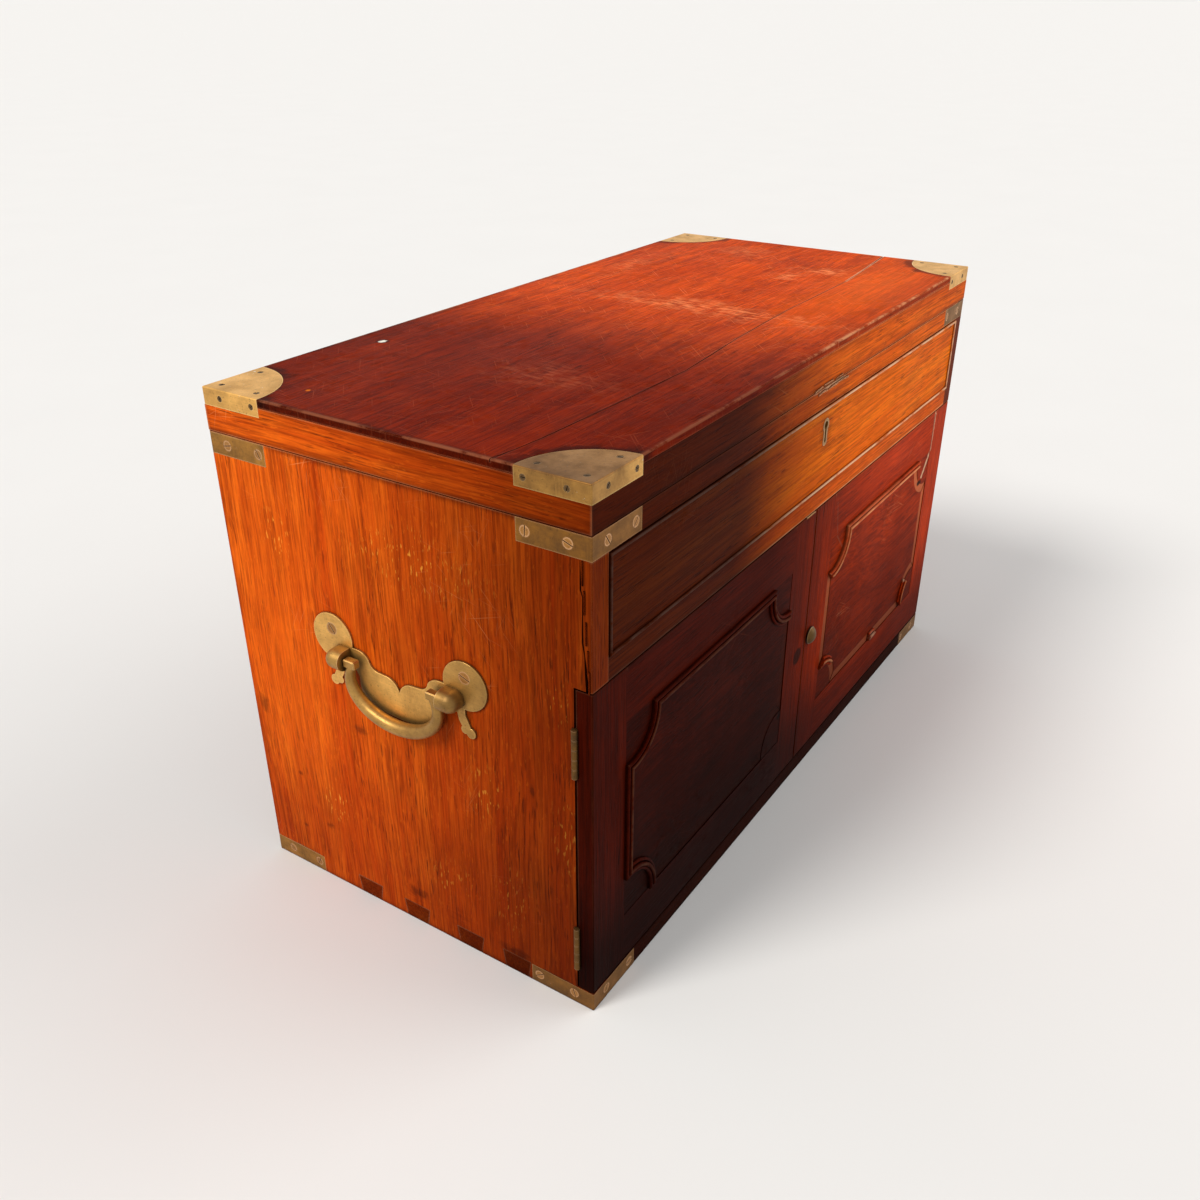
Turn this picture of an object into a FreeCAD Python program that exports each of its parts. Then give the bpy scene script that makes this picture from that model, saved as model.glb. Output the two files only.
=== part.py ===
import FreeCAD, Part
import math
import os

# Campaign chest: a lift lid over a shallow well, one long drawer, and a cupboard with a pair
# of overlay doors, in mahogany with brass corners, straps, hinges and end handles.
# Millimetres. Origin at the middle of the underside, X along the length with the left end
# at -X, the front at -Y, Z up.

V = FreeCAD.Vector
X, Y, Z = V(1, 0, 0), V(0, 1, 0), V(0, 0, 1)
OVERRUN = 1.0               # how far a cutter stands out of the face that it cuts

# ---- overall
LENGTH = 915.0
DEPTH = 438.0

# ---- carcase boards
END_THICKNESS = 24.0
BACK_THICKNESS = 16.0
BACK_REBATE = 8.0           # how far the back board is let into each end
BOTTOM_THICKNESS = 22.0
JOINT_FIT = 0.1             # between glued or seated faces
ARRIS = 1.2                 # worn rounding of the outer corners
SEAM_ARRIS = 0.5            # rounding along a joint or seam
BRASS_ARRIS = 0.5
PIN_FRONT_GAP = 23.8        # middle of the bottom board's first pin behind the hinge notch
PIN_BACK_GAP = 49.0         # middle of its last pin before the back
PIN_SPREAD = (0.0, 0.1445, 0.3179, 0.5289, 0.7225, 1.0)     # pins' middles, as shares from first to last
PIN_WIDTH_SHARE = 0.104     # as a share of the way from first to last
PIN_SLOPE = 6.0             # rise over run of a dovetail's side

# ---- rails and levels
TOP_RAIL_HEIGHT = 23.0
TOP_RAIL_DEPTH = 45.0
DRAWER_RAIL_HEIGHT = 23.0
DRAWER_RAIL_DEPTH = 60.0
RAIL_TENON = 8.0
TENON_SHOULDER = 4.0
DRAWER_OPENING = 97.0
WELL_FLOOR_THICKNESS = 8.0
WELL_FLOOR_RISE = 2.0       # underside of the well floor over the drawer opening
TONGUE = 5.0                # how far floor and dust boards enter their grooves
DUST_BOARD_THICKNESS = 7.0
DUST_BOARD_DROP = 8.0       # top of the dust board under the runners' top
RUNNER_WIDTH = 22.0
RUNNER_HEIGHT = 21.0
DOOR_STOP_HEIGHT = 12.0
DOOR_STOP_DEPTH = 15.0
DOOR_STOP_LENGTH = 300.0
DOOR_STOP_PLAY = 0.6

# ---- lid
LID_SEAM = 0.5
LID_HEIGHT = 43.0
LID_BOARD_THICKNESS = 8.0
LID_RIM_THICKNESS = 20.0

# ---- doors
DOOR_HEIGHT = 343.5
DOOR_THICKNESS = 17.0
DOOR_GAP = 1.5              # round and between the doors
STILE_WIDTH = 54.0
DOOR_RAIL_WIDTH = 58.0
DOOR_TENON = 22.0
DOOR_TENON_THICKNESS = 5.5
PANEL_THICKNESS = 11.0
PANEL_SINK = 0.3            # panel face behind the frame face
PANEL_PLAY = 0.3
PANEL_TONGUE = 5.0
PANEL_TONGUE_THICKNESS = 4.0
MOULD_WIDTH = 12.0
MOULD_HEIGHT = 5.4
MOULD_SCOOP = 46.0          # radius of the hollow corners
MOULD_SET = 0.6             # depth of its shallow housing in the panel
LEFT_LOST = ("right", "bottom", "right bottom")     # lengths of moulding that have come off
RIGHT_LOST = ("left", "right", "bottom", "right top")
RIGHT_BROKEN = {"left bottom": (0.55, 1.0), "right bottom": (0.0, 0.5)}    # shares that are still there
CHIP_START, CHIP_END = 0.52, 0.59       # what is left of the right door's bottom length
REED_HEIGHTS = (0.74, 1.0, 0.52)    # crown of each reed, as a share of the height
REED_SWELL = 0.34           # rise of a reed over its own width

# ---- split in the front edge of the left end
SPLIT_WIDTH = 1.8
SPLIT_DEPTH = 7.0
SPLIT_TOP_SET = 11.5
SPLIT_FOOT_SET = 5.0

# ---- split along the lid's top: from the left end, from the front, width
TOP_SPLIT = ((-1, 97, 0.9), (30, 92, 0.7), (60, 89.5, 0.9), (120, 87, 0.6), (200, 84.5, 0.8),
             (290, 83.5, 0.6), (350, 88, 0.8), (420, 95, 0.5), (500, 100, 0.5), (560, 102, 0.4),
             (640, 102, 0.5), (740, 103, 0.5), (800, 107, 0.6), (850, 113, 0.7), (890, 117.5, 1.3),
             (916, 119.5, 2.0))
TOP_SPLIT_DEPTH = 3.0

# ---- brass
BRASS_THICKNESS = 1.5
BRASS_FIT = 0.1
CORNER_RADIUS = 74.0
CORNER_FLANGE = 17.5
STRAP_LEG = 74.0
TOP_STRAP_HEIGHT = 21.5
FOOT_STRAP_HEIGHT = 20.5
STRAP_MARGIN = 0.5          # strap to the seam or to the ground
STRAP_SCREW_NEAR = 23.0
STRAP_SCREW_FAR = 65.0
CORNER_SCREW_NEAR = 13.0
CORNER_SCREW_FAR = 60.0
SCREW_HEAD_RADIUS = 5.2
SMALL_HEAD_RADIUS = 3.0
SCREW_SHANK_RADIUS = 1.7
SMALL_SHANK_RADIUS = 1.3
SCREW_LENGTH = 16.0
SMALL_SCREW_LENGTH = 12.0
SCREW_SINK = 0.15
SCREW_FIT = 0.05
SLOT_WIDTH = 0.9

# ---- hinges
LEAF_THICKNESS = 1.6
LEAF_PLAY = 0.3             # between the two closed leaves
KNUCKLE_COUNT = 5
KNUCKLE_PLAY = 0.3
BARREL_CLEARANCE = 0.5
HINGE_SCREW_SPREAD = 0.34   # outer screws from a leaf's middle, as a share of its length
HINGE_SCREW_INSET = (0.5, 0.62, 0.5)    # screws from the pin's side, as shares of the leaf's width
PIN_INSET = 0.2             # pin's ends inside the barrel
PIN_FIT = 0.05
DOOR_HINGE_LENGTH = 51.0
DOOR_HINGE_LEAF = 19.0
DOOR_HINGE_BARREL = 3.0
DOOR_HINGE_PIN = 1.3
DOOR_HINGE_STAND = 1.2      # pin centre outside the end face
DOOR_HINGE_GAP = 2.2        # end panel to door
DOOR_HINGE_LOW = 25.0       # foot of the lower hinge over the door's foot
DOOR_HINGE_HIGH = 40.0      # head of the upper hinge under the door's head
LID_HINGE_LENGTH = 64.0
LID_HINGE_LEAF = 13.0
LID_HINGE_BARREL = 3.5
LID_HINGE_PIN = 1.5
LID_HINGE_STAND = 1.6
LID_HINGE_SPACING = 560.0

# ---- drawer
DRAWER_GAP = 0.9            # round the drawer front
DRAWER_FRONT_THICKNESS = 20.0
DRAWER_SIDE_THICKNESS = 10.0
DRAWER_SIDE_HEIGHT = 84.0
DRAWER_SIDE_PLAY = 1.2
DRAWER_RUN_PLAY = 0.3
DRAWER_BACK_SPACE = 10.0
DRAWER_BOTTOM_THICKNESS = 6.0
DRAWER_BOTTOM_RISE = 7.0
DRAWER_BACK_DROP = 4.0      # top of the drawer back under the sides' top
COCKBEAD_THICKNESS = 3.0
COCKBEAD_DEPTH = 10.0
COCKBEAD_STAND = 2.2
DRAWER_TAILS = 3
DRAWER_LAP = 1.5            # wood left between a tail and the bead's rebate
DRAWER_TAIL_WIDTH = 19.0
STOP_BLOCK_LENGTH = 40.0
STOP_BLOCK_DEPTH = 18.0
STOP_BLOCK_HEIGHT = 5.0
STOP_BLOCK_SPACING = 520.0
STOP_PLAY = 0.4

# ---- drawer lock
LOCK_WIDTH = 58.0
LOCK_HEIGHT = 42.0
LOCK_CASE_DEPTH = 9.0
LOCK_SELVEDGE = 1.6
LOCK_SCREW_INSET = 6.0
LOCK_PIN_DROP = 21.0        # lock's pin under the drawer front's top
LOCK_PIN_RADIUS = 1.6
BOLT_WIDTH = 18.0
BOLT_THICKNESS = 5.0
BOLT_HEIGHT = 12.0
BOLT_TRAVEL = 7.0
BOLT_PLAY = 0.3
KEYHOLE_RADIUS = 4.6
KEYHOLE_SLOT = 3.8
KEYHOLE_DROP = 20.0         # slot's foot under the pin
ESCUTCHEON_RIM = 3.0
ESCUTCHEON_DEPTH = 3.0
ESCUTCHEON_STAND = 0.4
KEEP_THICKNESS = 1.2
KEEP_MARGIN = 9.0
KEEP_BORDER = 2.2
BOLT_END_PLAY = 1.0         # room over a bolt that is shot

# ---- door bolt, knob and turn latch
DOOR_BOLT_WIDTH = 8.0
DOOR_BOLT_THICKNESS = 4.0
DOOR_BOLT_LENGTH = 62.0
DOOR_BOLT_TRAVEL = 8.0
DOOR_BOLT_SET = 16.0        # bolt's middle from the meeting edge
BOLT_PLATE_WIDTH = 22.0
BOLT_PLATE_LENGTH = 86.0
BOLT_PLATE_THICKNESS = 1.6
THUMB_RADIUS = 4.5
THUMB_LENGTH = 7.0
THUMB_STAND = 1.5           # thumb piece off the plate
THUMB_SET = 2.0             # thumb piece over the bolt's foot
KNOB_RADIUS = 11.0
KNOB_HEIGHT = 8.0
KNOB_NECK_RADIUS = 5.0
KNOB_NECK = 2.2
KNOB_SET = 12.0             # knob's middle from the meeting edge
KNOB_LEVEL = 198.0
SPINDLE_RADIUS = 3.0
TURN_LENGTH = 30.0
TURN_WIDTH = 11.0
TURN_THICKNESS = 3.0
TURN_PLAY = 0.5

# ---- end handles
HANDLE_LEVEL = 313.0        # bail's pivots
HANDLE_PLATE_THICKNESS = 2.2
ROSE_RADIUS = 25.5
ROSE_SET = 82.0             # middle of a round end from the handle's middle
ROSE_RISE = 16.0
ROSE_SCREW_RISE = 9.0
ROSE_SCREW_RADIUS = 6.6
POST_RADIUS = 10.5
POST_BARREL = 10.5          # post's domed end from its flat inner face
POST_STUD_RADIUS = 3.5
POST_STUD_LENGTH = 18.0
PIVOT_STAND = 8.5           # bail's pivot over the plate
HANDLE_REACH = 51.0         # plate's foot under the pivots; its outline is in shares of this
HANDLE_OUTLINE_SHARES = ((0, -0.392), (0.275, -0.137), (0.529, -0.118), (0.725, 0.069),
                         (0.98, 0.216), -0.196, (1, -0.471), (0.686, -0.961))
HANDLE_BULGE_SHARES = ((0.106, -0.216), (0.657, -0.059), (0.829, 0.169), (1.078, -0.255), (0.922, -0.784))
FINIAL_NECK_SHARES = ((-0.02, -0.118), (0.196, -0.118), (0.196, -0.314),
                      (0.333, -0.608), (0.196, -0.706), (0.039, -0.451))
FINIAL_BALL_SHARES = (0.304, -0.667, 0.108)     # along from the post, up, radius
FINIAL_CURL_SHARES = (0.167, -0.627, 0.088)
BAIL_HALF_WIDTH = 55.0      # middle of an arm, where the bail is widest
BAIL_BELLY = 17.0           # its widest level under the pivots
BAIL_DROP = 54.0
BAIL_SIDE_GAP = 5.0         # from there to the post's flat face
BAIL_END_RADIUS = 4.3
BAIL_GRIP_RADIUS = 7.3
BAIL_PIN_RADIUS = 2.6
BAIL_PIN_DEPTH = 7.0        # pin inside the post
BAIL_PIN_PLAY = 0.5         # beyond the pin's end
BAIL_SECTIONS = 13
BAIL_BAR_GAP = 1.3          # squared end to the post's flat face
BAIL_BAR_BACK = 4.5         # squared end behind the arm
BAIL_BAR_ARRIS = 1.0

# ---- levels and planes worked out from the sizes above
X_END = LENGTH / 2
X_INNER = X_END - END_THICKNESS
Y_FRONT = -DEPTH / 2
Y_BACK = DEPTH / 2
Y_BACK_INNER = Y_BACK - BACK_THICKNESS
Z_DOOR = BOTTOM_THICKNESS + DOOR_GAP
Z_DOOR_TOP = Z_DOOR + DOOR_HEIGHT
Z_DRAWER_RAIL = Z_DOOR_TOP + DOOR_GAP
Z_DRAWER = Z_DRAWER_RAIL + DRAWER_RAIL_HEIGHT
Z_TOP_RAIL = Z_DRAWER + DRAWER_OPENING
Z_SEAM = Z_TOP_RAIL + TOP_RAIL_HEIGHT
Z_LID = Z_SEAM + LID_SEAM
Z_TOP = Z_LID + LID_HEIGHT
Z_LID_BOARD = Z_TOP - LID_BOARD_THICKNESS
Z_WELL = Z_TOP_RAIL + WELL_FLOOR_RISE
Y_DOOR_BACK = Y_FRONT + DOOR_THICKNESS
Y_HINGE_FACE = Y_DOOR_BACK + DOOR_HINGE_GAP
KEYHOLE_LEVEL = Z_TOP_RAIL - DRAWER_GAP - LOCK_PIN_DROP
DRAWER_TAIL_LENGTH = DRAWER_FRONT_THICKNESS - COCKBEAD_DEPTH - DRAWER_LAP

nodes = {}


# ---------------------------------------------------------------- helpers
def box(x, y, z):
    """A box from three (low, high) pairs."""
    return Part.makeBox(x[1] - x[0], y[1] - y[0], z[1] - z[0], V(x[0], y[0], z[0]))


def rod(start, direction, radius, length):
    return Part.makeCylinder(radius, length, start, direction)


def face_of(points):
    return Part.Face(Part.makePolygon(points + [points[0]]))


def joined(shapes):
    """One shape fused from several."""
    whole = shapes[0]
    if len(shapes) > 1:
        whole = whole.fuse(shapes[1:])
    return whole.removeSplitter()


def cut(shape, cutters):
    return shape.cut(cutters) if cutters else shape


def softened(shape, radius, chosen):
    """The shape with the chosen edges rounded; chosen looks at an edge's middle."""
    edges = [edge for edge in shape.Edges if chosen(edge.BoundBox.Center, edge)]
    return shape.makeFillet(radius, edges)


def near(value, level):
    return abs(value - level) < 0.01


def mirrored(shape):
    """The shape's twin on the other side of the chest's middle."""
    return shape.mirror(V(0, 0, 0), X)


def both_ends(shapes):
    return shapes + [mirrored(shape) for shape in shapes]


def placed(shape, origin, local_x, local_y, local_z):
    """A copy of a shape, moved from its own axes to the given ones."""
    return shape.transformed(FreeCAD.Matrix(
        local_x.x, local_y.x, local_z.x, origin.x,
        local_x.y, local_y.y, local_z.y, origin.y,
        local_x.z, local_y.z, local_z.z, origin.z,
        0, 0, 0, 1), True)


def screw(point, inward, head, shank, length, turn):
    """A slotted countersunk screw with its head flush at the point."""
    cone = Part.makeCone(head, shank, head - shank, V(0, 0, SCREW_SINK), Z)
    body = joined([cone, rod(V(0, 0, SCREW_SINK), Z, shank, length)])
    slot = Part.makeBox(4 * head, SLOT_WIDTH, head * 0.3, V(-2 * head, -SLOT_WIDTH / 2, 0))
    slot.rotate(V(0, 0, 0), Z, turn)
    side = X if abs(inward.x) < 0.5 else Y
    return placed(body.cut(slot), point, side, inward.cross(side), inward)


def screw_hole(point, inward, head, shank, length):
    """What a screw takes out of the wood and the brass round it."""
    start = point + inward * (SCREW_SINK - SCREW_FIT)
    return joined([
        rod(point - inward * OVERRUN, inward, head + SCREW_FIT, OVERRUN + SCREW_SINK),
        Part.makeCone(head + SCREW_FIT, shank + SCREW_FIT, head - shank, start, inward),
        rod(start, inward, shank + SCREW_FIT, length + OVERRUN)])


def screw_row(places, head, shank, length):
    """Screws and their holes for a list of (point, inward) places."""
    screws = []
    holes = []
    for count, (point, inward) in enumerate(places):
        turn = 37.0 * count + 20.0
        screws.append(screw(point, inward, head, shank, length, turn))
        holes.append(screw_hole(point, inward, head, shank, length))
    return screws, holes


# ---------------------------------------------------------------- corner brass
def corner_angle(base, height, grow):
    """An L of strap round the front left corner, its two legs let in flush."""
    leg = STRAP_LEG + grow
    thick = BRASS_THICKNESS + grow
    out = OVERRUN if grow else 0
    z = (base - grow, base + height + grow)
    on_end = box((-X_END - out, -X_END + thick), (Y_FRONT - out, Y_FRONT + leg), z)
    on_front = box((-X_END - out, -X_END + leg), (Y_FRONT - out, Y_FRONT + thick), z)
    angle = joined([on_end, on_front])
    if grow:
        return angle
    return softened(angle, ARRIS, lambda middle, edge: near(middle.x, -X_END) and near(middle.y, Y_FRONT))


def corner_cap(grow):
    """The lid's front left corner: a quarter disc with a flange down each face."""
    radius = CORNER_RADIUS + grow
    thick = BRASS_THICKNESS + grow
    out = OVERRUN if grow else 0
    x = (-X_END - out, -X_END + radius)
    y = (Y_FRONT - out, Y_FRONT + radius)
    plate = box(x, y, (Z_TOP - thick, Z_TOP + out))
    disc = rod(V(-X_END, Y_FRONT, Z_TOP - thick - 1), Z, radius, thick + out + 2)
    if grow:
        disc = joined([disc, box((x[0], -X_END + thick), y, (Z_TOP - thick, Z_TOP + out)),
                       box(x, (y[0], Y_FRONT + thick), (Z_TOP - thick, Z_TOP + out))])
    flange = (Z_TOP - CORNER_FLANGE - grow, Z_TOP + out)
    cap = joined([
        plate.common(disc),
        box((x[0], -X_END + thick), y, flange),
        box(x, (y[0], Y_FRONT + thick), flange)])
    if grow:
        return cap
    return softened(cap, ARRIS, lambda middle, edge: (
        near(middle.x, -X_END) + near(middle.y, Y_FRONT) + near(middle.z, Z_TOP) == 2))


def at_corners(shape):
    """The front left shape copied to all four corners, by name."""
    back = shape.mirror(V(0, 0, 0), Y)
    return {
        "front_left": shape, "front_right": mirrored(shape),
        "back_left": back, "back_right": mirrored(back)}


def corner_points(offsets, level):
    """Screw places on the end and the long face of each corner, at one level."""
    places = []
    for side in (-1, 1):
        for face in (-1, 1):
            for offset in offsets:
                places.append((V(side * X_END, face * (Y_BACK - offset), level), V(-side, 0, 0)))
                places.append((V(side * (X_END - offset), face * Y_BACK, level), V(0, -face, 0)))
    return places


def cap_points():
    """Screw places on the four quarter discs of the lid."""
    near, far = CORNER_SCREW_NEAR, CORNER_SCREW_FAR
    places = []
    for side in (-1, 1):
        for face in (-1, 1):
            for inset_x, inset_y in ((near, far), (near, near), (far, near)):
                point = V(side * (X_END - inset_x), face * (Y_BACK - inset_y), Z_TOP)
                places.append((point, V(0, 0, -1)))
    return places


strap_offsets = (STRAP_SCREW_NEAR, STRAP_SCREW_FAR)
top_strap_base = Z_SEAM - STRAP_MARGIN - TOP_STRAP_HEIGHT
top_strap_level = top_strap_base + TOP_STRAP_HEIGHT / 2
foot_strap_level = STRAP_MARGIN + FOOT_STRAP_HEIGHT / 2
strap_places = corner_points(strap_offsets, top_strap_level)
strap_places += corner_points(strap_offsets, foot_strap_level)
strap_screws, strap_holes = screw_row(
    strap_places, SCREW_HEAD_RADIUS, SCREW_SHANK_RADIUS, SCREW_LENGTH)

cap_places = cap_points() + corner_points(strap_offsets, Z_TOP - CORNER_FLANGE / 2)
cap_screws, cap_holes = screw_row(
    cap_places, SMALL_HEAD_RADIUS, SMALL_SHANK_RADIUS, SMALL_SCREW_LENGTH)

top_straps = at_corners(corner_angle(top_strap_base, TOP_STRAP_HEIGHT, 0))
foot_straps = at_corners(corner_angle(STRAP_MARGIN, FOOT_STRAP_HEIGHT, 0))
strap_recesses = list(at_corners(corner_angle(top_strap_base, TOP_STRAP_HEIGHT, BRASS_FIT)).values())
strap_recesses += list(at_corners(corner_angle(STRAP_MARGIN, FOOT_STRAP_HEIGHT, BRASS_FIT)).values())
cap_recesses = list(at_corners(corner_cap(BRASS_FIT)).values())

nodes["top_straps"] = Part.Compound([cut(strap, strap_holes) for strap in top_straps.values()])
nodes["foot_straps"] = Part.Compound([cut(strap, strap_holes) for strap in foot_straps.values()])
for place, cap in at_corners(corner_cap(0)).items():
    nodes["lid_corner_" + place] = cut(cap, cap_holes)
case_cutters = strap_recesses + strap_holes
lid_cutters = cap_recesses + cap_holes


# ---------------------------------------------------------------- hinges
def hinge(length, leaf_width, barrel, pin, stand, gap):
    """A butt hinge in its own axes: pin along Z, leaves along +X, fixed leaf at +Y.

    The wood that it joins starts at x = stand, and is gap apart.
    """
    inner = LEAF_PLAY / 2
    end = stand + leaf_width
    pitch = length / KNUCKLE_COUNT
    parts = {}
    plate = {
        "fixed": box((0, end), (inner, inner + LEAF_THICKNESS), (0, length)),
        "moving": box((0, end), (-inner - LEAF_THICKNESS, -inner), (0, length))}
    bands = {"fixed": [], "moving": []}
    for count in range(KNUCKLE_COUNT):
        owner = "moving" if count % 2 else "fixed"
        bands[owner].append((count * pitch, (count + 1) * pitch))
    pin_hole = rod(V(0, 0, -1), Z, pin + PIN_FIT, length + 2)
    for owner, other in (("fixed", "moving"), ("moving", "fixed")):
        room = [rod(V(0, 0, low - KNUCKLE_PLAY / 2), Z, barrel + KNUCKLE_PLAY,
                    high - low + KNUCKLE_PLAY) for low, high in bands[other]]
        knuckles = []
        for low, high in bands[owner]:
            foot = low + (KNUCKLE_PLAY / 2 if low > 0 else 0)
            head = high - (KNUCKLE_PLAY / 2 if high < length else 0)
            knuckles.append(rod(V(0, 0, foot), Z, barrel, head - foot))
        parts[owner] = joined([cut(plate[owner], room)] + knuckles).cut(pin_hole)
    parts["pin"] = rod(V(0, 0, PIN_INSET), Z, pin, length - 2 * PIN_INSET)
    for owner, side in (("fixed", 1), ("moving", -1)):
        places = []
        for step, share in zip((-1, 0, 1), HINGE_SCREW_INSET):
            inset = stand + leaf_width * share
            level = length / 2 + step * length * HINGE_SCREW_SPREAD
            places.append((V(inset, side * inner, level), V(0, side, 0)))
        screws, holes = screw_row(
            places, SMALL_HEAD_RADIUS, SMALL_SHANK_RADIUS, SMALL_SCREW_LENGTH)
        parts[owner] = parts[owner].cut(holes)
        parts[owner + "_screws"] = screws
        low, high = sorted((side * (gap / 2 - OVERRUN), side * (inner + LEAF_THICKNESS + BRASS_FIT)))
        recess = box((stand - OVERRUN, end + BRASS_FIT), (low, high), (-BRASS_FIT, length + BRASS_FIT))
        barrel_room = rod(V(0, 0, -BARREL_CLEARANCE), Z, barrel + BARREL_CLEARANCE,
                          length + 2 * BARREL_CLEARANCE)
        parts[owner + "_room"] = [recess, barrel_room] + holes
    return parts


def moved_parts(parts, origin, local_x, local_y, local_z):
    """A hinge's parts set in place, each as a list of shapes."""
    result = {}
    for name, shapes in parts.items():
        group = shapes if isinstance(shapes, list) else [shapes]
        result[name] = [placed(shape, origin, local_x, local_y, local_z) for shape in group]
    return result


def gathered(hinges, name):
    return [shape for parts in hinges for shape in parts[name]]


door_hinge = hinge(DOOR_HINGE_LENGTH, DOOR_HINGE_LEAF, DOOR_HINGE_BARREL, DOOR_HINGE_PIN,
                   DOOR_HINGE_STAND, DOOR_HINGE_GAP)
door_axis_x = X_END + DOOR_HINGE_STAND
door_axis_y = Y_DOOR_BACK + DOOR_HINGE_GAP / 2
hinge_levels = (Z_DOOR + DOOR_HINGE_LOW, Z_DOOR_TOP - DOOR_HINGE_HIGH - DOOR_HINGE_LENGTH)
left_hinges = [moved_parts(door_hinge, V(-door_axis_x, door_axis_y, level), X, Y, Z)
               for level in hinge_levels]

lid_hinge = hinge(LID_HINGE_LENGTH, LID_HINGE_LEAF, LID_HINGE_BARREL, LID_HINGE_PIN,
                  LID_HINGE_STAND, LID_SEAM)
lid_axis_y = Y_BACK + LID_HINGE_STAND
lid_axis_z = Z_SEAM + LID_SEAM / 2
lid_hinges = [moved_parts(lid_hinge, V(middle - LID_HINGE_LENGTH / 2, lid_axis_y, lid_axis_z), -Y, -Z, X)
              for middle in (-LID_HINGE_SPACING / 2, LID_HINGE_SPACING / 2)]

door_case_room = gathered(left_hinges, "fixed_room")
case_cutters += both_ends(door_case_room) + gathered(lid_hinges, "fixed_room")
lid_cutters += gathered(lid_hinges, "moving_room")
nodes["door_hinge_case_leaves"] = Part.Compound(both_ends(gathered(left_hinges, "fixed")))
nodes["door_hinge_pins"] = Part.Compound(both_ends(gathered(left_hinges, "pin")))
nodes["lid_hinge_case_leaves"] = Part.Compound(gathered(lid_hinges, "fixed"))
nodes["lid_hinge_pins"] = Part.Compound(gathered(lid_hinges, "pin"))
nodes["lid_hinge_leaves"] = Part.Compound(gathered(lid_hinges, "moving"))
nodes["lid_screws"] = Part.Compound(cap_screws + gathered(lid_hinges, "moving_screws"))
case_hinge_screws = both_ends(gathered(left_hinges, "fixed_screws")) + gathered(lid_hinges, "fixed_screws")
nodes["case_screws"] = Part.Compound(strap_screws + case_hinge_screws)


# ---------------------------------------------------------------- end handles
post_flat = BAIL_HALF_WIDTH + BAIL_SIDE_GAP
post_set = post_flat + POST_BARREL
bail_depth = BAIL_DROP - BAIL_BELLY
bail_start = -math.asin(BAIL_BELLY / bail_depth)
pivot_set = BAIL_HALF_WIDTH * math.cos(bail_start)


def bail_point(angle):
    """A point of the bail's centre line, from the front pivot down and round to the back."""
    return V(0, -BAIL_HALF_WIDTH * math.cos(angle), -BAIL_BELLY - bail_depth * math.sin(angle))


def bail():
    """The swinging grip, in axes with the pivots on Y and the outside at -X."""
    rings = []
    for count in range(BAIL_SECTIONS):
        share = count / (BAIL_SECTIONS - 1)
        angle = bail_start + share * (math.pi - 2 * bail_start)
        heading = V(0, BAIL_HALF_WIDTH * math.sin(angle), -bail_depth * math.cos(angle))
        radius = BAIL_END_RADIUS + (BAIL_GRIP_RADIUS - BAIL_END_RADIUS) * math.sin(math.pi * share)
        rings.append(Part.Wire(Part.makeCircle(radius, bail_point(angle), heading)))
    pieces = [Part.makeLoft(rings, True)]
    half = BAIL_END_RADIUS
    for side in (-1, 1):
        bar_ends = sorted((side * (pivot_set - BAIL_BAR_BACK), side * (post_flat - BAIL_BAR_GAP)))
        bar = box((-half, half), tuple(bar_ends), (-half, half))
        pieces.append(bar.makeChamfer(BAIL_BAR_ARRIS, bar.Edges))
        pieces.append(rod(V(0, side * pivot_set, 0), V(0, side, 0), BAIL_PIN_RADIUS,
                          post_flat + BAIL_PIN_DEPTH - pivot_set))
    return joined(pieces)


def handle_half_outline():
    """The back half of the plate's middle, as a closed wire in Y and Z."""
    post = post_set / HANDLE_REACH

    def at(along, up):
        return V(0, along * HANDLE_REACH, up * HANDLE_REACH)

    def arc(first, middle, last):
        return Part.Arc(at(*first), at(*middle), at(*last)).toShape()

    def line(first, last):
        return Part.makeLine(at(*first), at(*last))

    notch, shoulder, crest, lobe, arm, waist, hip, foot = HANDLE_OUTLINE_SHARES
    edges = [
        arc(notch, HANDLE_BULGE_SHARES[0], shoulder),
        line(shoulder, crest),
        arc(crest, HANDLE_BULGE_SHARES[1], lobe),
        arc(lobe, HANDLE_BULGE_SHARES[2], arm),
        line(arm, (post, arm[1])),
        line((post, arm[1]), (post, waist)),
        arc((post, waist), HANDLE_BULGE_SHARES[3], hip),
        arc(hip, HANDLE_BULGE_SHARES[4], foot),
        line(foot, (0, -1)),
        line((0, -1), notch)]
    return Part.Wire(edges)


def finial():
    """The little scroll that hangs under a round end, ending in a ball."""
    def at(along, up):
        return V(0, post_set + along * HANDLE_REACH, up * HANDLE_REACH)

    depth = V(HANDLE_PLATE_THICKNESS, 0, 0)
    neck = face_of([at(*point) for point in FINIAL_NECK_SHARES]).extrude(depth)
    knobs = [rod(at(along, up), X, radius * HANDLE_REACH, HANDLE_PLATE_THICKNESS)
             for along, up, radius in (FINIAL_BALL_SHARES, FINIAL_CURL_SHARES)]
    return [neck] + knobs


def handle_plate():
    """The pierced back plate, from x = 0 inward to the wood."""
    depth = V(HANDLE_PLATE_THICKNESS, 0, 0)
    half = [Part.Face(handle_half_outline()).extrude(depth)]
    half.append(rod(V(0, ROSE_SET, ROSE_RISE), X, ROSE_RADIUS, HANDLE_PLATE_THICKNESS))
    half += finial()
    plate = joined(half + [shape.mirror(V(0, 0, 0), Y) for shape in half])
    rim = [edge for edge in plate.Edges if near(edge.BoundBox.XMin, 0) and near(edge.BoundBox.XMax, 0)]
    return plate.makeFillet(BRASS_ARRIS, rim)


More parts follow.
